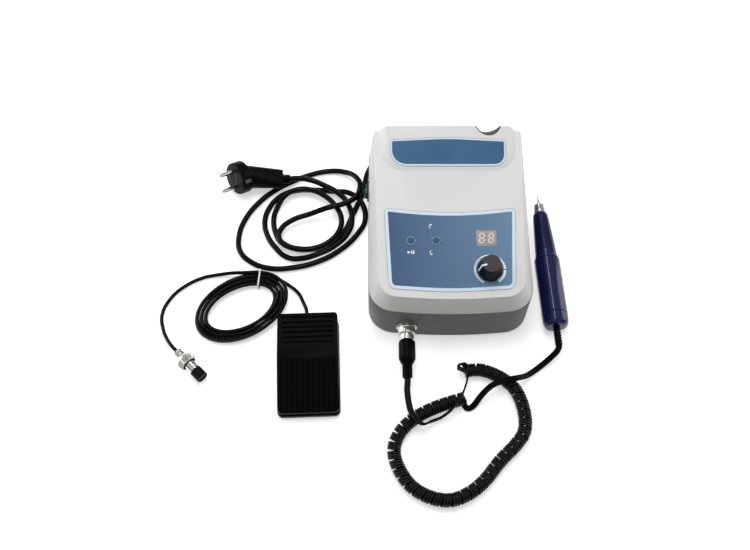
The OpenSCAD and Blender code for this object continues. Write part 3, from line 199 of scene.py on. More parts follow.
def softened(node, name, width, material, body, angle=35, segments=3, only=None, mark=None):
    shape = bmesh.new()
    shape.from_mesh(cad[node].data)
    bmesh.ops.remove_doubles(shape, verts=shape.verts, dist=0.000004)
    bmesh.ops.recalc_face_normals(shape, faces=shape.faces)
    bmesh.ops.dissolve_limit(shape, angle_limit=math.radians(0.6), verts=shape.verts, edges=shape.edges)
    if mark:
        mark(shape)
    rims = [e for e in shape.edges if len(e.link_faces) == 2 and e.calc_face_angle(0) > math.radians(angle)
            and (only is None or only(e))]
    bmesh.ops.bevel(shape, geom=rims, offset=width / 1000, offset_type="OFFSET", segments=segments,
                    profile=0.5, affect="EDGES", clamp_overlap=True, material=-1)
    piece = finished(name, shape, material, body)
    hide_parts(node)
    return piece


def round_cord(name, points, diameter, material):
    line = bpy.data.curves.new(name, "CURVE")
    line.dimensions = "3D"
    line.bevel_depth = diameter / 2
    line.bevel_resolution = 5
    line.resolution_u = 6
    line.use_fill_caps = True
    spline = line.splines.new("BEZIER")
    spline.bezier_points.add(len(points) - 1)
    for knot, point in zip(spline.bezier_points, points):
        knot.co = [c / 1000 for c in point]
        knot.handle_left_type = knot.handle_right_type = "AUTO"
    line.materials.append(material)
    cord = bpy.data.objects.new(name, line)
    bpy.context.scene.collection.objects.link(cord)
    return cord


mains_width = 0.0063
sheath = finish_like("mains_sheath", "#040405", 0.24, grain=0.08, shine=0.14)
mains_route = [
    (-150.4, 129.6, 16.1), (-140, 130.5, 16.2), (-126, 128.5, 16), (-108, 122, 13.5),
    (-92, 113, 10.5), (-81, 98, 9.8), (-77, 80, 9.7), (-81, 62, 9.7), (-95, 45.5, 9.7),
    (-114, 34.5, 9.7), (-133, 30.5, 6.5), (-149, 34, 3.2), (-162, 46, 3.2), (-172, 62, 3.2),
    (-176, 80, 3.2), (-172, 98, 3.2), (-160, 114, 3.2), (-145, 121.5, 3.2),
    (-122, 123, 3.2), (-100, 121, 3.2), (-79, 114, 9.7), (-66, 101, 9.7), (-62, 84, 3.2),
    (-70, 65, 3.2), (-90, 43, 3.2), (-115, 28, 3.2), (-143, 20.5, 3.2), (-168, 20, 3.2),
    (-187, 27, 3.2), (-201, 41, 3.2), (-204, 60, 3.2), (-198, 84, 3.2), (-183, 107, 3.2),
    (-167, 122, 3.2), (-150, 133, 3.2), (-129, 143, 3.2), (-106, 149, 3.2), (-86, 146, 6),
    (-73, 135, 12), (-68, 119, 16.4), (-73, 105, 16.4), (-86, 96, 16.5), (-103, 91, 16.4),
    (-125, 86, 10), (-143, 79, 9.6), (-156, 67, 9.6), (-158, 55, 9.6), (-150, 46, 9.6),
    (-135, 41, 9.6), (-118, 42, 9.6), (-101, 51, 9.6), (-91, 65, 9.7), (-89, 81, 9.7),
    (-96, 97, 9.7), (-109, 111, 9.6), (-125, 119, 9.6), (-141, 119, 9.6), (-154, 111, 9.6),
    (-163, 98, 3.2), (-166, 83, 3.2), (-163, 66, 3.2), (-156, 53, 3.2), (-143, 45.5, 3.2),
    (-128, 43.5, 3.2), (-110, 47, 3.2), (-95, 56, 3.2), (-84, 70, 3.2), (-78, 85, 3.2),
    (-72, 100, 3.2), (-66, 116, 3.2), (-63, 132, 3.2), (-59.5, 147, 3.2), (-50, 163, 6),
    (-34, 178, 12), (-15, 186, 18), (2, 179, 22.5), (9.5, 170, 24), (10, 164, 24)]
mains_lead = round_cord("mains_lead", mains_route, mains_width, sheath)
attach(mains_lead, "unit")
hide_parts("mains_cord")

# Mains plug: a round head with a tapered grip and a short ribbed relief, moulded in one of black
# plastic; nickel-plated pins and sprung earth contacts. The lead leaves by a moulded rear gland.
moulding = finish_like("plug_moulding", "#070709", 0.32, grain=0.25, shine=0.08)
contact = finish_like("contact_nickel", "#d6d6d4", 0.16, grain=0.02, metal=1.0)
plug_head = softened("mains_plug", "plug_head", 0.6, moulding, "unit")
wear("plug_pins", contact)
wear("earth_clips", contact)
wear("mains_gland", moulding)
wear("fuse_holder", finish_like("holder_plastic", "#131315", 0.35, grain=0.15, shine=0.3))

# Pedal cord: 1.7 m of thin round cord, wound in an oval coil of piled loops and held by a
# white wire tie; its short tail ends in the screw plug.
coil_loops, coil_start, coil_finish = 3, 20, 55
coil_tilt, coil_step, coil_rise = math.radians(30.5), 4.8, 4.5
pedal_width = 0.004
coil_turns = 2 * coil_loops + (coil_finish - coil_start) / 360
coil_points = []
for k in range(int(coil_turns * 24) + 1):
    t = k / 24
    outward = (coil_turns - t) * coil_loops / (coil_turns - coil_loops)
    inward = coil_step * (t if t < coil_loops else outward)
    climb = min(max((t - coil_loops + 0.25) * 2, 0), 1)
    a = math.radians(coil_start + 360 * t)
    along, across = (52.6 - inward) * math.cos(a), (36.9 - inward) * math.sin(a)
    coil_points.append((-195 + along * math.cos(coil_tilt) - across * math.sin(coil_tilt),
                        -28.5 + along * math.sin(coil_tilt) + across * math.cos(coil_tilt),
                        2.7 + coil_rise * climb))
pedal_route = [(-124.1, -38.2, 4.6), (-124.4, -33.8, 4.2), (-125.6, -28.6, 3.2), (-128.4, -22, 2.7),
               (-134, -11, 2.7), (-145, -1, 2.7)]
tail_route = [(-196, 12.3, 7.2), (-206, 12.6, 6.2), (-217, 12.4, 4), (-228, 11.4, 2.4),
              (-239, 9, 2.1), (-259, -2, 2.1), (-273, -17, 2.1), (-280, -36, 2.2), (-277, -53, 3.2),
              (-271, -66, 6.4), (-263.5, -76.5, 8.9), (-257.4, -82.6, 9.2)]
thin_sheath = finish_like("pedal_sheath", "#040405", 0.24, grain=0.08, shine=0.14)
pedal_cord = round_cord("pedal_cord", pedal_route + coil_points + tail_route, pedal_width,
                        thin_sheath)
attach(pedal_cord, "unit")
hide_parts("pedal_cord_lead", "pedal_cord_coil", "pedal_cord_tail")
wear("cord_tie", finish_like("paper_tie", "#e6e6e4", 0.7, grain=0.4, grain_size=0.0008))

# Screw plug of the pedal cord: a turned barrel of plated brass with a two-screw strap clamp on the
# cord, a knurled coupling nut that turns on it, and a black moulded insert with a keyway.
in_plug = (Matrix.Translation((-0.2574, -0.0826, 0.0092)) @ Matrix.Rotation(math.radians(-45), 4, "Z")
           @ Matrix.Rotation(math.radians(90), 4, "Y"))


def turned(profile, steps=64):
    shape = bmesh.new()
    chain = [shape.verts.new((radius, 0, along)) for radius, along in profile]
    edges = [shape.edges.new(pair) for pair in zip(chain, chain[1:])]
    bmesh.ops.spin(shape, geom=chain + edges, cent=(0, 0, 0), axis=(0, 0, 1), angle=2 * math.pi, steps=steps,
                   use_merge=True)
    bmesh.ops.remove_doubles(shape, verts=shape.verts, dist=0.001)
    bmesh.ops.recalc_face_normals(shape, faces=shape.faces)
    return shape


def knurl(shape, count, low, high, depth):
    for vert in shape.verts:
        if low <= vert.co.z <= high:
            turn = math.atan2(vert.co.y, vert.co.x)
            vert.co.xy *= 1 - depth * (0.5 - 0.5 * math.cos(turn * count)) / vert.co.xy.length


plated = finish_like("connector_nickel", "#dcdad6", 0.2, grain=0.06, grain_size=0.0009, metal=1.0)
insert_black = finish_like("insert_black", "#09090a", 0.32, grain=0.1, shine=0.1)
barrel = turned([(0, 7.6), (4.7, 7.6), (5.4, 8.2), (5.4, 19.4), (5.9, 19.8), (5.9, 26.2), (5.6, 26.6),
                 (5.6, 27.2), (6.0, 27.5), (6.0, 29.2), (0, 29.2)])
connector_barrel = finished("connector_barrel", barrel, plated, "unit", in_plug)
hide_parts("pedal_plug_body")
clamp = turned([(2.1, 0), (4.2, 0), (4.9, 0.5), (4.9, 2.9), (4.2, 3.4), (3.4, 3.7), (4.2, 4.0), (4.9, 4.5),
                (4.9, 7.2), (4.3, 7.8), (2.1, 7.8)])
ears = []
for z in (1.8, 5.8):
    ears += bmesh.ops.create_cube(clamp, size=1, matrix=Matrix.Translation((0, 0, z))
                                  @ Matrix.Diagonal((12.6, 2.6, 2.6, 1)))["verts"]
bmesh.ops.bevel(clamp, geom=list({e for v in ears for e in v.link_edges}), offset=0.5, segments=2,
                profile=0.5, affect="EDGES", material=-1)
finished("connector_clamp", clamp, plated, "unit", in_plug)
insert = turned([(0, 29.3), (6.3, 29.3), (6.3, 40.5), (5.8, 41.0), (5.0, 41.0), (4.8, 40.0), (0, 40.0)])
for vert in insert.verts:
    if vert.co.x > 0 and abs(vert.co.y) < 0.9 and math.hypot(vert.co.x, vert.co.y) > 5.5:
        vert.co.x -= 0.8
finished("connector_insert", insert, insert_black, "unit", in_plug)
nut = turned([(5.5, 8.5), (6.6, 8.4), (7.2, 9.0), (8.6, 11.4), (9.0, 12.2)]
             + [(9.15, 12.6 + 0.6 * i) for i in range(11)]
             + [(8.7, 19.2), (7.9, 19.2), (7.8, 14.6), (5.5, 14.6)], steps=144)
knurl(nut, 36, 12.5, 18.7, 0.7)
connector_nut = finished("connector_nut", nut, plated, "pedal_plug_nut", in_plug, sharp=50)
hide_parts("pedal_coupling_nut")

# Motor cable: three insulated wires side by side in one flat ribbon, 2 m long, wound edge to edge
# into a curly cord. Its first turn springs up open, and both ends run out flat.
def along_route(points, steps):
    got = []
    for i in range(len(points) - 1):
        a, b, c, d = (points[max(i - 1, 0)], points[i], points[i + 1], points[min(i + 2, len(points) - 1)])
        for j in range(steps):
            t = j / steps
            got.append([0.5 * (2 * q + (r - p) * t + (2 * p - 5 * q + 4 * r - s) * t * t
                               + (3 * q - p - 3 * r + s) * t ** 3)
                        for p, q, r, s in zip(a, b, c, d)])
    return got + [list(points[-1])]


def flat_frames(samples, flip=1):
    frames = []
    for i, sample in enumerate(samples):
        ahead = Vector(samples[min(i + 1, len(samples) - 1)][:3])
        heading = (ahead - Vector(samples[max(i - 1, 0)][:3])).normalized()
        side = heading.cross(Vector((0, 0, 1))).normalized()
        rise = side.cross(heading)
        roll = math.radians(sample[3])
        wide = side * math.cos(roll) + rise * math.sin(roll)
        thick = rise * math.cos(roll) - side * math.sin(roll)
        frames.append((Vector(sample[:3]), wide * flip, thick * flip))
    return frames


motor_route = [
    (-18, -117.2, 22.5, 0), (-18, -122, 22, 0), (-18.4, -131.5, 20.2, 0),
    (-15.5, -149, 17.6, 0), (-9, -159, 15.8, 10), (-2, -161.5, 11.5, 50), (5, -158, 7.5, 90),
    (15, -153.5, 5.5, 90), (23, -149, 9, 90), (30, -143.5, 16, 90), (36, -136, 20, 90),
    (40.5, -125, 19, 90), (43.4, -114, 15.4, 88), (41.9, -107, 14.4, 82), (34.3, -101.8, 13.4, 70)]
curl_route = [
    (39, -104), (58, -102), (78, -110), (93, -124), (100, -146), (99, -167),
    (89, -182), (72, -199), (57, -217), (41, -230), (22, -237), (2, -234), (-15, -224),
    (-26, -209), (-32, -192), (-30, -177), (-21, -163), (-6, -151), (15, -141), (40, -133)]
hand_route = [
    (40, -133, 0.9, 0), (40.5, -138, 0.9, 0), (44, -142, 1.2, 0), (50, -139, 2.5, 0),
    (57, -131, 8, 0), (67, -123, 15, 0), (80, -117.5, 17, 0), (94, -114, 15, 0),
    (106, -108, 7, 0), (118, -99, 3, 0), (130, -90, 5.5, 0), (138, -83.5, 11, 0),
    (140.8, -79, 13.3, 0), (141.03, -76.7, 13.8, 0)]
curls, turn_steps, curl_r, curl_height = 43.5, 14, 6.15, 7.02
first_swing, first_lift, first_spread, first_rise = -12, 33, 0.22, 4.5
axis = along_route(curl_route, 4)
reach = [0.0]
for i in range(1, len(axis)):
    reach.append(reach[-1] + math.dist(axis[i], axis[i - 1]))


def axis_at(distance):
    distance = min(max(distance, 0), reach[-1])
    i = min(max(k for k in range(len(reach)) if reach[k] <= distance), len(axis) - 2)
    t = (distance - reach[i]) / (reach[i + 1] - reach[i])
    return Vector((*axis[i], curl_height)).lerp(Vector((*axis[i + 1], curl_height)), t)


curl_frames = []
for k in range(1, int(curls * turn_steps)):
    distance = reach[-1] * k / (curls * turn_steps)
    left = max(1 - k / turn_steps, 0)
    heading = (Matrix.Rotation(math.radians(first_swing * left), 3, "Z")
               @ (axis_at(distance + 4) - axis_at(distance - 4)).normalized())
    side = heading.cross(Vector((0, 0, 1))).normalized()
    heading = Matrix.Rotation(math.radians(first_lift * left), 3, side) @ heading
    angle = math.radians(90 + 360 * k / turn_steps)
    out = side * math.cos(angle) + side.cross(heading) * math.sin(angle)
    centre = axis_at(distance) + Vector((0, 0, first_rise * left))
    curl_frames.append((centre + out * curl_r * (1 + first_spread * left), heading, out))
lead_in, lead_out = flat_frames(along_route(motor_route, 6)), flat_frames(along_route(hand_route, 6), -1)
frames = lead_in + curl_frames + lead_out
lead_width, curl_width, ribbon_gap = 6.4, 8.5, 0.35
widths = []
for k, (centre, wide, thick) in enumerate(frames):
    room = [abs((frames[k + step][0] - centre).dot(wide)) for step in (-turn_steps, turn_steps)
            if len(lead_in) <= k + step < len(lead_in) + len(curl_frames)]
    inside = len(lead_in) + 6 <= k < len(frames) - len(lead_out) - 6
    widen = min(max((centre.x - 55) / 30, 0), 1)
    widths.append(min([curl_width + widen] + [r - ribbon_gap for r in room]) if inside else lead_width)
for _ in range(3):
    padded = widths[:1] + widths + widths[-1:]
    widths = [sum(padded[k:k + 3]) / 3 for k in range(len(widths))]
wire_r, wire_pitch = 1.0, 2.2
section = []
for way, angles in ((1, (35, 62, 90, 118, 145)), (-1, (215, 242, 270, 298, 325))):
    section += [(way * (wire_pitch + wire_r), 0.0)]
    for i in (way, 0, -way):
        section += [(i * wire_pitch + wire_r * math.cos(math.radians(a)), wire_r * math.sin(math.radians(a)))
                    for a in angles]
ribbon = bmesh.new()
bmesh.ops.create_grid(ribbon, x_segments=len(frames) - 1, y_segments=len(section), size=0.5)
# Faces on the crown of each wire take the lighter second material, a painted highlight for the glints along the
# wire tops; the grooves between keep the black sheath.
for face in ribbon.faces:
    strip = int((face.calc_center_median().y + 0.5) * len(section))
    on_painted_glint = 1 <= strip <= 15 and (strip - 1) % 5 in (1, 2)
    face.material_index = int(on_painted_glint)
for vert in ribbon.verts:
    k = round((vert.co.x + 0.5) * (len(frames) - 1))
    j = round((vert.co.y + 0.5) * len(section)) % len(section)
    centre, wide, thick = frames[k]
    vert.co = (centre + wide * section[j][0] * widths[k] / lead_width + thick * section[j][1]) / 1000
bmesh.ops.remove_doubles(ribbon, verts=ribbon.verts, dist=0.000001)
bmesh.ops.holes_fill(ribbon, edges=[e for e in ribbon.edges if e.is_boundary])
bmesh.ops.recalc_face_normals(ribbon, faces=ribbon.faces)
cable_sheath = finish_like("cable_sheath", "#030304", 0.3, grain=0.05, shine=0.08)
# Lighter grey with more shine for the wire crowns: painted highlight, not a colour of the sheath.
cable_painted_glint = finish_like("cable_painted_glint", "#161618", 0.26, grain=0.05, shine=0.22)
motor_cable = finished("motor_cable", ribbon, [cable_sheath, cable_painted_glint], "unit", sharp=60)
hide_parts("motor_lead", "curly_cord", "handpiece_lead")

# Plug of the motor cable: a plated shell whose knurled ring screws onto the socket, and behind it
# a moulded rubber boot with a ribbed sleeve that keeps the ribbon from kinking.
at_front = Matrix.Translation((-0.018, -0.0592, 0.0225)) @ Matrix.Rotation(math.radians(90), 4, "X")
rubber = finish_like("boot_rubber", "#030304", 0.34, grain=0.2, shine=0.07)
shell = turned([(0, 10.2), (7.0, 10.2), (7.0, 11.6), (7.7, 11.9), (7.7, 16.6), (7.2, 17.1), (5.4, 17.2),
                (5.4, 21.2), (0, 21.2)], steps=72)
plug_shell = finished("plug_shell", shell, plated, "unit", at_front)
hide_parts("motor_plug_shell")
ring = turned([(8.0, 2.3), (8.5, 2.3), (9.0, 2.8)] + [(9.0, 3.3 + 0.5 * i) for i in range(12)]
              + [(9.0, 9.0), (8.3, 9.8), (7.2, 9.8), (7.2, 9.0), (8.0, 9.0)], steps=144)
knurl(ring, 40, 3.1, 9.0, 0.28)
bmesh.ops.holes_fill(ring, edges=[e for e in ring.edges if e.is_boundary])
bmesh.ops.remove_doubles(ring, verts=ring.verts, dist=0.01)
coupling_ring = finished("coupling_ring", ring, plated, "plug_ring", at_front, sharp=50)
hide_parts("motor_coupling_ring")
boot = turned([(0, 21.3), (5.5, 21.3), (5.5, 17.6), (7.4, 17.6), (8.4, 18.1), (8.75, 19.4), (8.75, 36.2),
               (8.4, 37.8), (7.0, 40.6), (5.9, 42.4), (0, 42.4)], steps=72)
cable_boot = finished("cable_boot", boot, rubber, "unit", at_front, sharp=45)
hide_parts("motor_plug_boot")
ribs = [(0, 42.5)]
for i in range(7):
    z = 42.5 + 2.2 * i
    ribs += [(4.8, z), (5.3, z + 0.25), (5.3, z + 1.05), (4.8, z + 1.3), (4.1, z + 1.4), (4.1, z + 2.1)]
ribs += [(0, 58.0)]
sleeve = finished("cable_sleeve", turned(ribs, steps=48), rubber, "unit", at_front, sharp=40)
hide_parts("motor_cord_sleeve")

# Sockets: round panel sockets of plated brass, their threaded barrels put through the wall from
# outside and held by hexagon nuts inside.
socket_metal = finish_like("socket_nickel", "#d2cfc9", 0.24, grain=0.08, metal=1.0)
for node in ("motor_socket", "pedal_socket", "socket_nuts"):
    wear(node, socket_metal)

# Base of the control unit: one deep tray moulded in mid-grey plastic with a fine spark-eroded
# grain, open at the top, with a bowed front and the sockets and power switch in its walls.
base_grey = finish_like("base_grey", "#747474", 0.55, grain=0.45, grain_size=0.0007, vary=0.14, shine=0.25,
                        cloud_size=0.0014)
floor_height, rim_height = 0.0022, 0.0518
softened("lower_base", "base_tray", 1.0, base_grey, "unit", angle=50,
         only=lambda e: (max(v.co.z for v in e.verts) < floor_height
                         or min(v.co.z for v in e.verts) > rim_height))
wear("rubber_feet", finish_like("foot_rubber", "#161617", 0.75, grain=0.4, shine=0.25))
wear("case_screws", finish_like("screw_steel", "#a9a9ab", 0.3, grain=0.1, metal=1.0))

# Cover of the control unit: a shell moulded in smooth off-white plastic, its long side walls
# leaning in to the tilted top plate, with a raised hump at the rear. All outer edges are round.
on_plate = Matrix.Translation((0.027, -0.0505, 0.069)) @ Matrix.Rotation(math.radians(6.5), 4, "X")
to_plate = on_plate.inverted()


def outer_rim(edge):
    middle = (edge.verts[0].co + edge.verts[1].co) / 2
    flat = to_plate @ middle
    up = [f.normal.z for f in edge.link_faces]
    if min(up) < -0.1 or max(up) < 0.6 or flat.z < -0.0004:
        return False
    in_notch = 0.052 < middle.x < 0.092 and middle.y > 0.118
    in_hole = abs(flat.x) < 0.06 and 0.012 < flat.y < 0.085
    return not in_notch and not in_hole


cover_white = finish_like("cover_white", "#d8d8d6", 0.42, grain=0.12, grain_size=0.0004, vary=0.012, shine=0.12,
                          cloud_size=0.05)
softened("upper_cover", "cover_shell", 1.9, cover_white, "unit", angle=24, segments=4,
         only=outer_rim)

# Rest for the handpiece: a strip coloured a mid-dark grey, bonded into the round notch that runs
# through the rear edge of the hump.
rest_grey = finish_like("rest_grey", "#4a4a4b", 0.7, grain=0.3, shine=0.3)
softened("rest_pad", "rest_strip", 0.25, rest_grey, "unit", angle=40, segments=2)


# Badge: a plastic film stuck to the hump, printed from behind with a blue field inside a pale border.
# A thin grey band round its edge is painted shade for the shadow line at the film's rim, and the same grey
# colours the cut sides. It is left plain.
def film(outline, border, thickness, place, name, materials, holes=()):
    sheet = bmesh.new()
    face = sheet.faces.new([sheet.verts.new((x, y, thickness)) for x, y in outline])
    face.normal_update()
    if face.normal.z < 0:
        face.normal_flip()
    # The outermost 0.45 mm band takes slot 2, the grey painted shadow line round the film; the next band is the
    # printed border.
    for width, number in ((0.45, 2), (border, 0)):
        rim = bmesh.ops.inset_region(sheet, faces=[face], thickness=width, use_boundary=True,
                                     use_even_offset=True)
        for strip in rim["faces"]:
            strip.material_index = number
    inner = list(face.edges)
    sheet.faces.remove(face)
    for x, y, radius in holes:
        hole = bmesh.ops.create_circle(sheet, segments=40, radius=radius, cap_ends=False,
                                       matrix=Matrix.Translation((x, y, thickness)))
        inner += list({e for v in hole["verts"] for e in v.link_edges})
    filled = bmesh.ops.triangle_fill(sheet, use_beauty=True, use_dissolve=False, edges=inner,
                                     normal=(0, 0, 1))["geom"]
    skirt = bmesh.ops.extrude_edge_only(sheet, edges=[e for e in sheet.edges if e.is_boundary])["geom"]
    bmesh.ops.translate(sheet, verts=[g for g in skirt if isinstance(g, bmesh.types.BMVert)],
                        vec=(0, 0, -thickness))
    for made, number in ((filled, 1), (skirt, 2)):
        for g in made:
            if isinstance(g, bmesh.types.BMFace):
                g.material_index = number
    bmesh.ops.recalc_face_normals(sheet, faces=sheet.faces)
    if sum(f.normal.z * f.calc_area() for f in sheet.faces) < 0:
        bmesh.ops.reverse_faces(sheet, faces=sheet.faces)
    return finished(name, sheet, materials, "unit", place)


def rounded(corners):
    got = []
    for i, (x, y, radius) in enumerate(corners):
        before, after = Vector(corners[i - 1][:2]), Vector(corners[(i + 1) % len(corners)][:2])
        at = Vector((x, y))
        u, v = (before - at).normalized(), (after - at).normalized()
        half = u.angle(v) / 2
        centre = at + (u + v).normalized() * radius / math.sin(half)
        start = at + u * radius / math.tan(half) - centre
        way = -1 if u.cross(v) > 0 else 1
        steps = max(5, math.ceil(math.degrees(math.pi - 2 * half) / 8))
        got += [tuple(centre + Matrix.Rotation(way * (math.pi - 2 * half) * k / steps, 2) @ start)
                for k in range(steps + 1)]
    return got


film_pale = finish_like("film_pale", "#cddae6", 0.35, grain=0.05, vary=0.02, shine=0.15)
film_edge_shade = finish_like("film_edge_shade", "#8d949b", 0.4, grain=0.05, vary=0.03, shine=0.15)
badge_blue = finish_like("badge_blue", "#395c80", 0.35, grain=0.06, vary=0.05, shine=0.08, second="#476a8b",
                         cloud_size=0.04)
on_hump = Matrix.Translation((0.027, 0.093, 0.08535)) @ Matrix.Rotation(math.radians(16.62), 4, "X")
badge = film(rounded([(-62.2, 5.2, 18), (62, 5.2, 13), (62, 35, 4), (0, 38.2, 300), (-62.2, 35.4, 4)]),
             1.9, 0.4, on_hump, "badge_film", [film_pale, badge_blue, film_edge_shade])
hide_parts("badge_label")

# Control label: one printed film with a pale rim and a dark blue field, punched for the buttons,
# the display and the knob. Its marks are printed: a play and pause sign, two curved arrows and
# the ticks and the widening band of the speed dial.
field_blue = finish_like("field_blue", "#41597a", 0.38, grain=0.08, vary=0.05, shine=0.08, second="#64809c",
                         cloud_size=0.045)
# The blue field is painted lighter towards its right side, mixing into the paler second blue: a painted sheen,
# not a print.
nodes, links = field_blue.node_tree.nodes, field_blue.node_tree.links
across = nodes.new("ShaderNodeSeparateXYZ")
links.new([n for n in nodes if n.type == "TEX_COORD"][0].outputs["Object"], across.inputs[0])
painted_sheen = nodes.new("ShaderNodeMapRange")
painted_sheen.inputs["From Min"].default_value = -0.045
painted_sheen.inputs["From Max"].default_value = 0.085
links.new(across.outputs["X"], painted_sheen.inputs["Value"])
links.new(painted_sheen.outputs["Result"], [n for n in nodes if n.type == "MIX"][0].inputs["Factor"])
# Like the badge, the label has a thin grey band of painted shade round its edge.
label = film(rounded([(-64.4, 10.8, 9), (0, 6.2, 400), (64.4, 10.8, 9), (69, 101.3, 4.8), (0, 92.8, 400),
                      (-69, 101.3, 4.8)]),
             3.5, 0.4, on_plate, "control_film", [film_pale, field_blue, film_edge_shade],
             holes=[(-41.2, 63.5, 5.3), (-15.2, 63.5, 5.3), (38.8, 31.5, 4.2)])
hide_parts("panel_label")
print_white = finish_like("print_white", "#e6edf3", 0.35, grain=0.04, vary=0.03, shine=0.3)
print_ring = finish_like("print_ring", "#8aa3bd", 0.35, grain=0.04, vary=0.03, shine=0.3)


def band(shape, centre, inner, outer, start, sweep, height, steps):
    begin = Matrix.Translation((centre[0], centre[1], height)) @ Matrix.Rotation(math.radians(start), 4, "Z")
    ends = [shape.verts.new(begin @ Vector((r, 0, 0))) for r in (inner, outer)]
    bmesh.ops.spin(shape, geom=ends + [shape.edges.new(ends)], cent=(centre[0], centre[1], height),
                   axis=(0, 0, 1), angle=math.radians(sweep), steps=steps, use_merge=abs(sweep) >= 360)


marks = bmesh.new()
print_height, dial, band_steps = 0.43, (38.8, 31.5), 12
bmesh.ops.create_circle(marks, segments=3, radius=2.1, cap_ends=True,
                        matrix=Matrix.Translation((-43.6, 50.6, print_height))
                        @ Matrix.Rotation(math.radians(-90), 4, "Z"))
for x in (-40.3, -38.2):
    bmesh.ops.create_grid(marks, x_segments=1, y_segments=1, size=0.5,
                          matrix=Matrix.Translation((x, 50.6, print_height))
                          @ Matrix.Diagonal((1.1, 3.9, 1, 1)))
for y, flip in ((79.6, 1), (50.4, -1)):
    band(marks, (-19.4, y), 1.9, 2.7, 180 - 62 * flip, 118 * flip, print_height, 8)
    bmesh.ops.create_circle(marks, segments=3, radius=1.3, cap_ends=True,
                            matrix=Matrix.Translation((-20.0, y + 2.1 * flip, print_height))
                            @ Matrix.Rotation(math.radians(-70 * flip), 4, "Z"))
for i in range(17):
    band(marks, dial, 14.2, 16.4, 243 - 6.6 * i, -4.2, print_height, 3)
band(marks, dial, 15.3, 16.3, 130, -70, print_height, 22)
for i in range(band_steps):
    for inner, growth, start, sweep in ((15.3, 1.1, 60, 57), (14.2, 1.2, -2, 55)):
        part = i / band_steps
        band(marks, dial, inner - growth * part, 16.5, start - sweep * part, -sweep / band_steps,
             print_height, 2)
bmesh.ops.recalc_face_normals(marks, faces=marks.faces)
for face in marks.faces:
    if face.normal.z < 0:
        face.normal_flip()
finished("label_marks", marks, print_white, "unit", on_plate)

# Push buttons: two round caps moulded in blue plastic, each with a printed ring. They stand a hair
# above the film on stems that press the two switches of the board.
cap_blue = finish_like("cap_blue", "#3c5874", 0.4, grain=0.06, vary=0.04, shine=0.06)
softened("start_button", "start_cap", 0.35, cap_blue, "start_key")
softened("direction_button", "direction_cap", 0.35, cap_blue, "direction_key")
for x, key in ((-41.2, "start_key"), (-15.2, "direction_key")):
    ring = bmesh.new()
    band(ring, (x, 63.5), 4.0, 4.7, 0, 360, 0.73, 48)
    finished(key.replace("key", "ring"), ring, print_ring, key, on_plate)
switch_black = finish_like("switch_black", "#17181a", 0.5, grain=0.15, shine=0.3)
wear("button_switches", switch_black)

# Display: a smoke-grey window of clear plastic let into the plate, through which two pale digits
# of seven bars each show, and the dark light-emitting module behind it.
display_x, display_y = 36.8, 66.5
window = bmesh.new()
bmesh.ops.create_cube(window, size=1, matrix=Matrix.Translation((display_x, display_y, -0.35))
                      @ Matrix.Diagonal((20.8, 17.3, 1.7, 1)))
bmesh.ops.bevel(window, geom=[e for e in window.edges if min(v.co.z for v in e.verts) > 0], offset=0.3,
                segments=2, profile=0.5, affect="EDGES", material=-1)
smoke = finish_like("smoke_window", "#9d9394", 0.25, grain=0.1, vary=0.05, shine=0.15)
display = finished("display_face", window, smoke, "unit", on_plate)
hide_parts("display_window")
bars = bmesh.new()
for digit in (-4.7, 4.9):
    for x, y, turn in ((0, 5.2, 0), (0, 0, 0), (0, -5.2, 0), (-2.3, 2.6, 85), (2.3, 2.6, 85),
                       (-2.3, -2.6, 85), (2.3, -2.6, 85)):
        lean = 0.1 * y
        bmesh.ops.create_circle(bars, segments=6, radius=1, cap_ends=True,
                                matrix=Matrix.Translation((display_x + digit + x + lean, display_y + y, 0.54))
                                @ Matrix.Rotation(math.radians(turn), 4, "Z")
                                @ Matrix.Diagonal((2.3, 0.85, 1, 1)))
digit_cream = finish_like("digit_cream", "#dcd3c6", 0.4, grain=0.05, vary=0.04, shine=0.1)
finished("display_digits", bars, digit_cream, "unit", on_plate)
wear("display_module", switch_black)

# Speed knob: a turned skirt of glossy black plastic pushed onto the flatted shaft, with a spun
# disc let into its top and a raised white pointer down its side.
knob_gloss = finish_like("knob_gloss", "#050506", 0.16, grain=0.04, shine=0.16)
softened("speed_knob", "knob_skirt", 0.35, knob_gloss, "speed_control", angle=20)
disc = turned([(0, 17.2), (9.0, 17.2), (9.3, 17.35), (9.3, 17.55), (9.1, 17.75), (0, 17.75)], steps=72)
disc_grey = finish_like("disc_grey", "#464141", 0.5, grain=0.3, grain_size=0.0009, shine=0.1)
knob_disc = finished("knob_disc", disc, disc_grey, "speed_control",
                     on_plate @ Matrix.Translation((0.0388, 0.0315, 0)))
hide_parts("knob_cap")
pointer = bmesh.new()
bmesh.ops.create_cube(pointer, size=1, matrix=Matrix.Diagonal((12.4, 1.7, 0.9, 1)))
bmesh.ops.bevel(pointer, geom=pointer.edges[:], offset=0.3, segments=2, profile=0.5, affect="EDGES",
                material=-1)
cone_drop = math.atan2(16 - 4.6, 12.5 - 10.1)
towards = Matrix.Rotation(math.radians(195), 4, "Z")
bmesh.ops.transform(pointer, matrix=Matrix.Translation((*dial, 0.4)) @ towards
                    @ Matrix.Translation((11.4, 0, 11.4)) @ Matrix.Rotation(cone_drop, 4, "Y"),
                    verts=pointer.verts)
bmesh.ops.create_cube(pointer, size=1, matrix=Matrix.Translation((*dial, 17.85)) @ towards
                      @ Matrix.Translation((7.5, 0, 0)) @ Matrix.Diagonal((5.2, 1.7, 0.5, 1)))
finished("knob_pointer", pointer, print_white, "speed_control", on_plate)
wear("pot_shaft", finish_like("shaft_steel", "#b4b4b6", 0.25, grain=0.08, metal=1.0))
wear("potentiometer", finish_like("pot_case", "#6f7a68", 0.4, grain=0.2, metal=0.6))

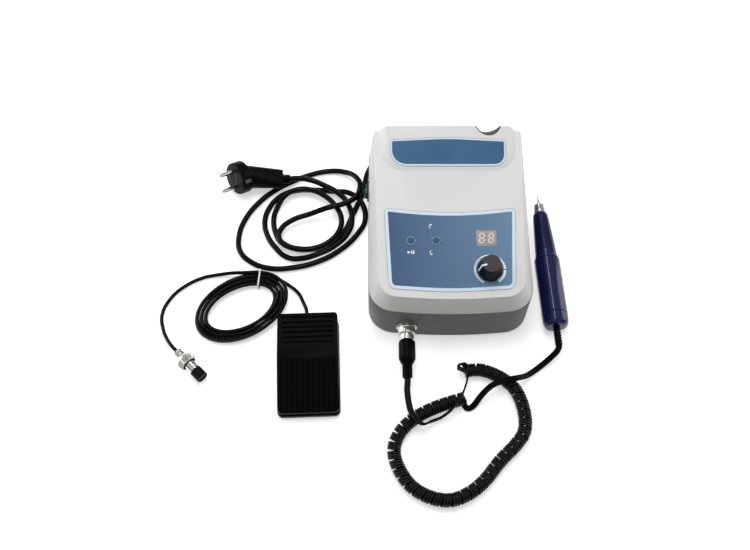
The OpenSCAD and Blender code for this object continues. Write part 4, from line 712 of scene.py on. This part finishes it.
# Boards inside the case: green glass-fibre laminate with soldered parts, the control board under
# the plate and the power supply screwed to the towers of the tray.
board_green = finish_like("board_green", "#24572f", 0.35, grain=0.3, grain_size=0.0015, vary=0.15, shine=0.5,
                          second="#2f6b3c", cloud_size=0.004)
wear("control_board", board_green)
wear("power_supply", finish_like("supply_green", "#2f6a39", 0.4, grain=0.3, grain_size=0.002, vary=0.15,
                                 second="#3f7d48", cloud_size=0.005))

# Power switch: a dark moulded bezel snapped into the left wall from outside, and in it a glossy
# rocker of translucent green plastic that tips about its middle.
bezel_black = finish_like("bezel_black", "#101012", 0.4, grain=0.15, shine=0.35)
softened("switch_bezel", "rocker_bezel", 0.4, bezel_black, "unit")
rocker_green = finish_like("rocker_green", "#1d5038", 0.2, grain=0.05, coat=0.4, shine=0.5)
softened("power_rocker", "rocker_key", 0.4, rocker_green, "power_key")

# Handpiece: a slim turned aluminium housing, lacquered dark blue and high gloss, with a rear cap
# screwed on and a grooved grip that turns to open the chuck; only the nose is bright steel.
navy = finish_like("navy_lacquer", "#0a0f3c", 0.3, grain=0.03, vary=0.05, metal=0.2, coat=0.7, shine=0.05,
                   second="#0d1349")
along_hand = (Matrix.Translation((0.1403, -0.0573, 0.0138)) @ Matrix.Rotation(math.radians(2.15), 4, "Z")
              @ Matrix.Rotation(math.radians(-90), 4, "X"))
cap = turned([(0, 0), (7.6, 0), (8.4, 0.1), (10.8, 1.0), (12.0, 2.4), (12.6, 3.6), (13.3, 5.6), (13.6, 8),
              (13.8, 12), (13.8, 14.7), (13.5, 15.1), (12.1, 15.1), (12.1, 22.9), (8.1, 22.9), (8.1, 17.1),
              (4.1, 17.1), (4.1, 14.3), (0, 14.3)], steps=96)
hand_cap = finished("hand_cap", cap, navy, "unit", along_hand, sharp=28)
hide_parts("rear_cap")
tube = turned([(12.25, 15.4), (13.5, 15.4), (13.8, 15.7), (13.8, 79.6), (13.75, 80.6), (13.3, 82.2),
               (12.4, 82.9), (6.0, 82.9), (6.0, 141.1), (5.1, 141.1), (5.1, 77), (12.25, 77),
               (12.25, 15.4)], steps=96)
hand_tube = finished("hand_tube", tube, navy, "unit", along_hand, sharp=28)
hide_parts("motor_housing")
wear("collar_ring", finish_like("collar_blue", "#3b3f66", 0.2, grain=0.04, metal=0.7, shine=0.3))
grip_foot, grip_length, foot_r, tip_r, groove_depth = 84.9, 56, 11.85, 8.2, 0.4
grip_profile = [(6.15, 84.95), (11.4, 84.95), (foot_r, 85.4)]
for i in range(24):
    z = grip_foot + 6 + 1.75 * i
    r = foot_r + (tip_r - foot_r) * (z - grip_foot) / grip_length
    grip_profile += [(r, z), (r - groove_depth, z + 0.35), (r - groove_depth, z + 0.8), (r - 0.03, z + 1.15)]
grip_profile += [(8.6, 135.4), (8.35, 138.5), (7.7, 139.9), (6.9, 140.8), (6.15, 140.8), (6.15, 84.95)]
grip = finished("hand_grip", turned(grip_profile, steps=96), navy, "chuck_grip", along_hand,
                sharp=28)
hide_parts("front_grip")
nose_steel = finish_like("nose_steel", "#cdcdd0", 0.2, grain=0.12, grain_size=0.0005, metal=1.0,
                         stretch=(1, 0.05, 1))
nose = turned([(2.6, 138.6), (6.0, 138.6), (6.0, 141.1), (6.6, 141.2), (6.6, 144.6), (6.2, 145.0),
               (5.5, 145.1), (5.5, 146.3), (6.2, 146.5), (6.3, 147.8), (5.9, 148.8), (5.3, 149.0),
               (5.3, 150.0), (5.9, 150.2), (5.9, 151.6), (5.0, 152.6), (3.4, 153.1), (2.6, 153.1),
               (2.6, 138.6)], steps=72)
nose_tip = finished("nose_tip", nose, nose_steel, "unit", along_hand)
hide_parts("nose_piece")
wear("spindle", nose_steel)
wear("tool", finish_like("tool_steel", "#b9b9bc", 0.22, grain=0.15, grain_size=0.0004, metal=1.0))
wear("bearings", finish_like("race_steel", "#9b9b9e", 0.2, grain=0.1, metal=1.0))
wear("rotor", finish_like("magnet_grey", "#55524c", 0.4, grain=0.3, metal=0.7))
wear("stator", finish_like("winding_copper", "#9c5c31", 0.38, grain=0.9, grain_size=0.0011, metal=0.9,
                           stretch=(1, 0.1, 1)))
sleeve_ribs = [(0, -19.4)]
for i in range(6):
    z = -19.4 + 3.23 * i
    sleeve_ribs += [(3.5, z), (3.9, z + 0.3), (3.9, z + 1.7), (3.5, z + 2.0), (3.1, z + 2.2), (3.1, z + 3.1)]
sleeve_ribs += [(3.3, -0.05), (0, -0.05)]
hand_sleeve = finished("hand_sleeve", turned(sleeve_ribs, steps=48), rubber, "unit",
                       along_hand, sharp=40)
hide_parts("handpiece_sleeve")

# Foot pedal: a black moulded base with a treadle over it, ribbed by grooves across its flat rear
# and along its sloping front; it rocks on a steel pin against a spring, over a small switch.
treadle_black = finish_like("treadle_black", "#030304", 0.36, grain=0.4, shine=0.05)
# Second black with almost no shine for the groove floors: painted shade for the shadow that falls in the
# grooves.
groove_painted_shade = finish_like("groove_painted_shade", "#030303", 0.6, grain=0.2, shine=0.02)


# Groove floors lying below both banks get the second material, the painted shade.
def mark_shaded_grooves(shape):
    beside, least_depth = 0.0026, 0.0006
    tree = BVHTree.FromBMesh(shape)
    for face in shape.faces:
        at = face.calc_center_median()
        banks = [tree.ray_cast(at + Vector((0, way * beside, 0.01)), Vector((0, 0, -1)))[0] for way in (-1, 1)]
        if face.normal.z > 0.8 and all(banks) and sum(hit.z for hit in banks) / 2 - at.z > least_depth:
            face.material_index = 1


softened("pedal_treadle", "treadle_plate", 0.35, [treadle_black, groove_painted_shade], "treadle",
         angle=32, mark=mark_shaded_grooves)
tray_black = finish_like("tray_black", "#070708", 0.3, grain=0.4, shine=0.16)
lip_height = 0.0056
softened("pedal_base", "pedal_tray", 0.6, tray_black, "unit", angle=40,
         only=lambda e: max(v.co.z for v in e.verts) < lip_height)
wear("pedal_hinge_pin", nose_steel)
wear("pedal_spring", finish_like("spring_steel", "#8f8f93", 0.25, grain=0.1, metal=1.0))
wear("pedal_switch", switch_black)
wear("pedal_feet", finish_like("pad_rubber", "#141415", 0.75, grain=0.4, shine=0.25))
wear("pedal_gland", rubber)
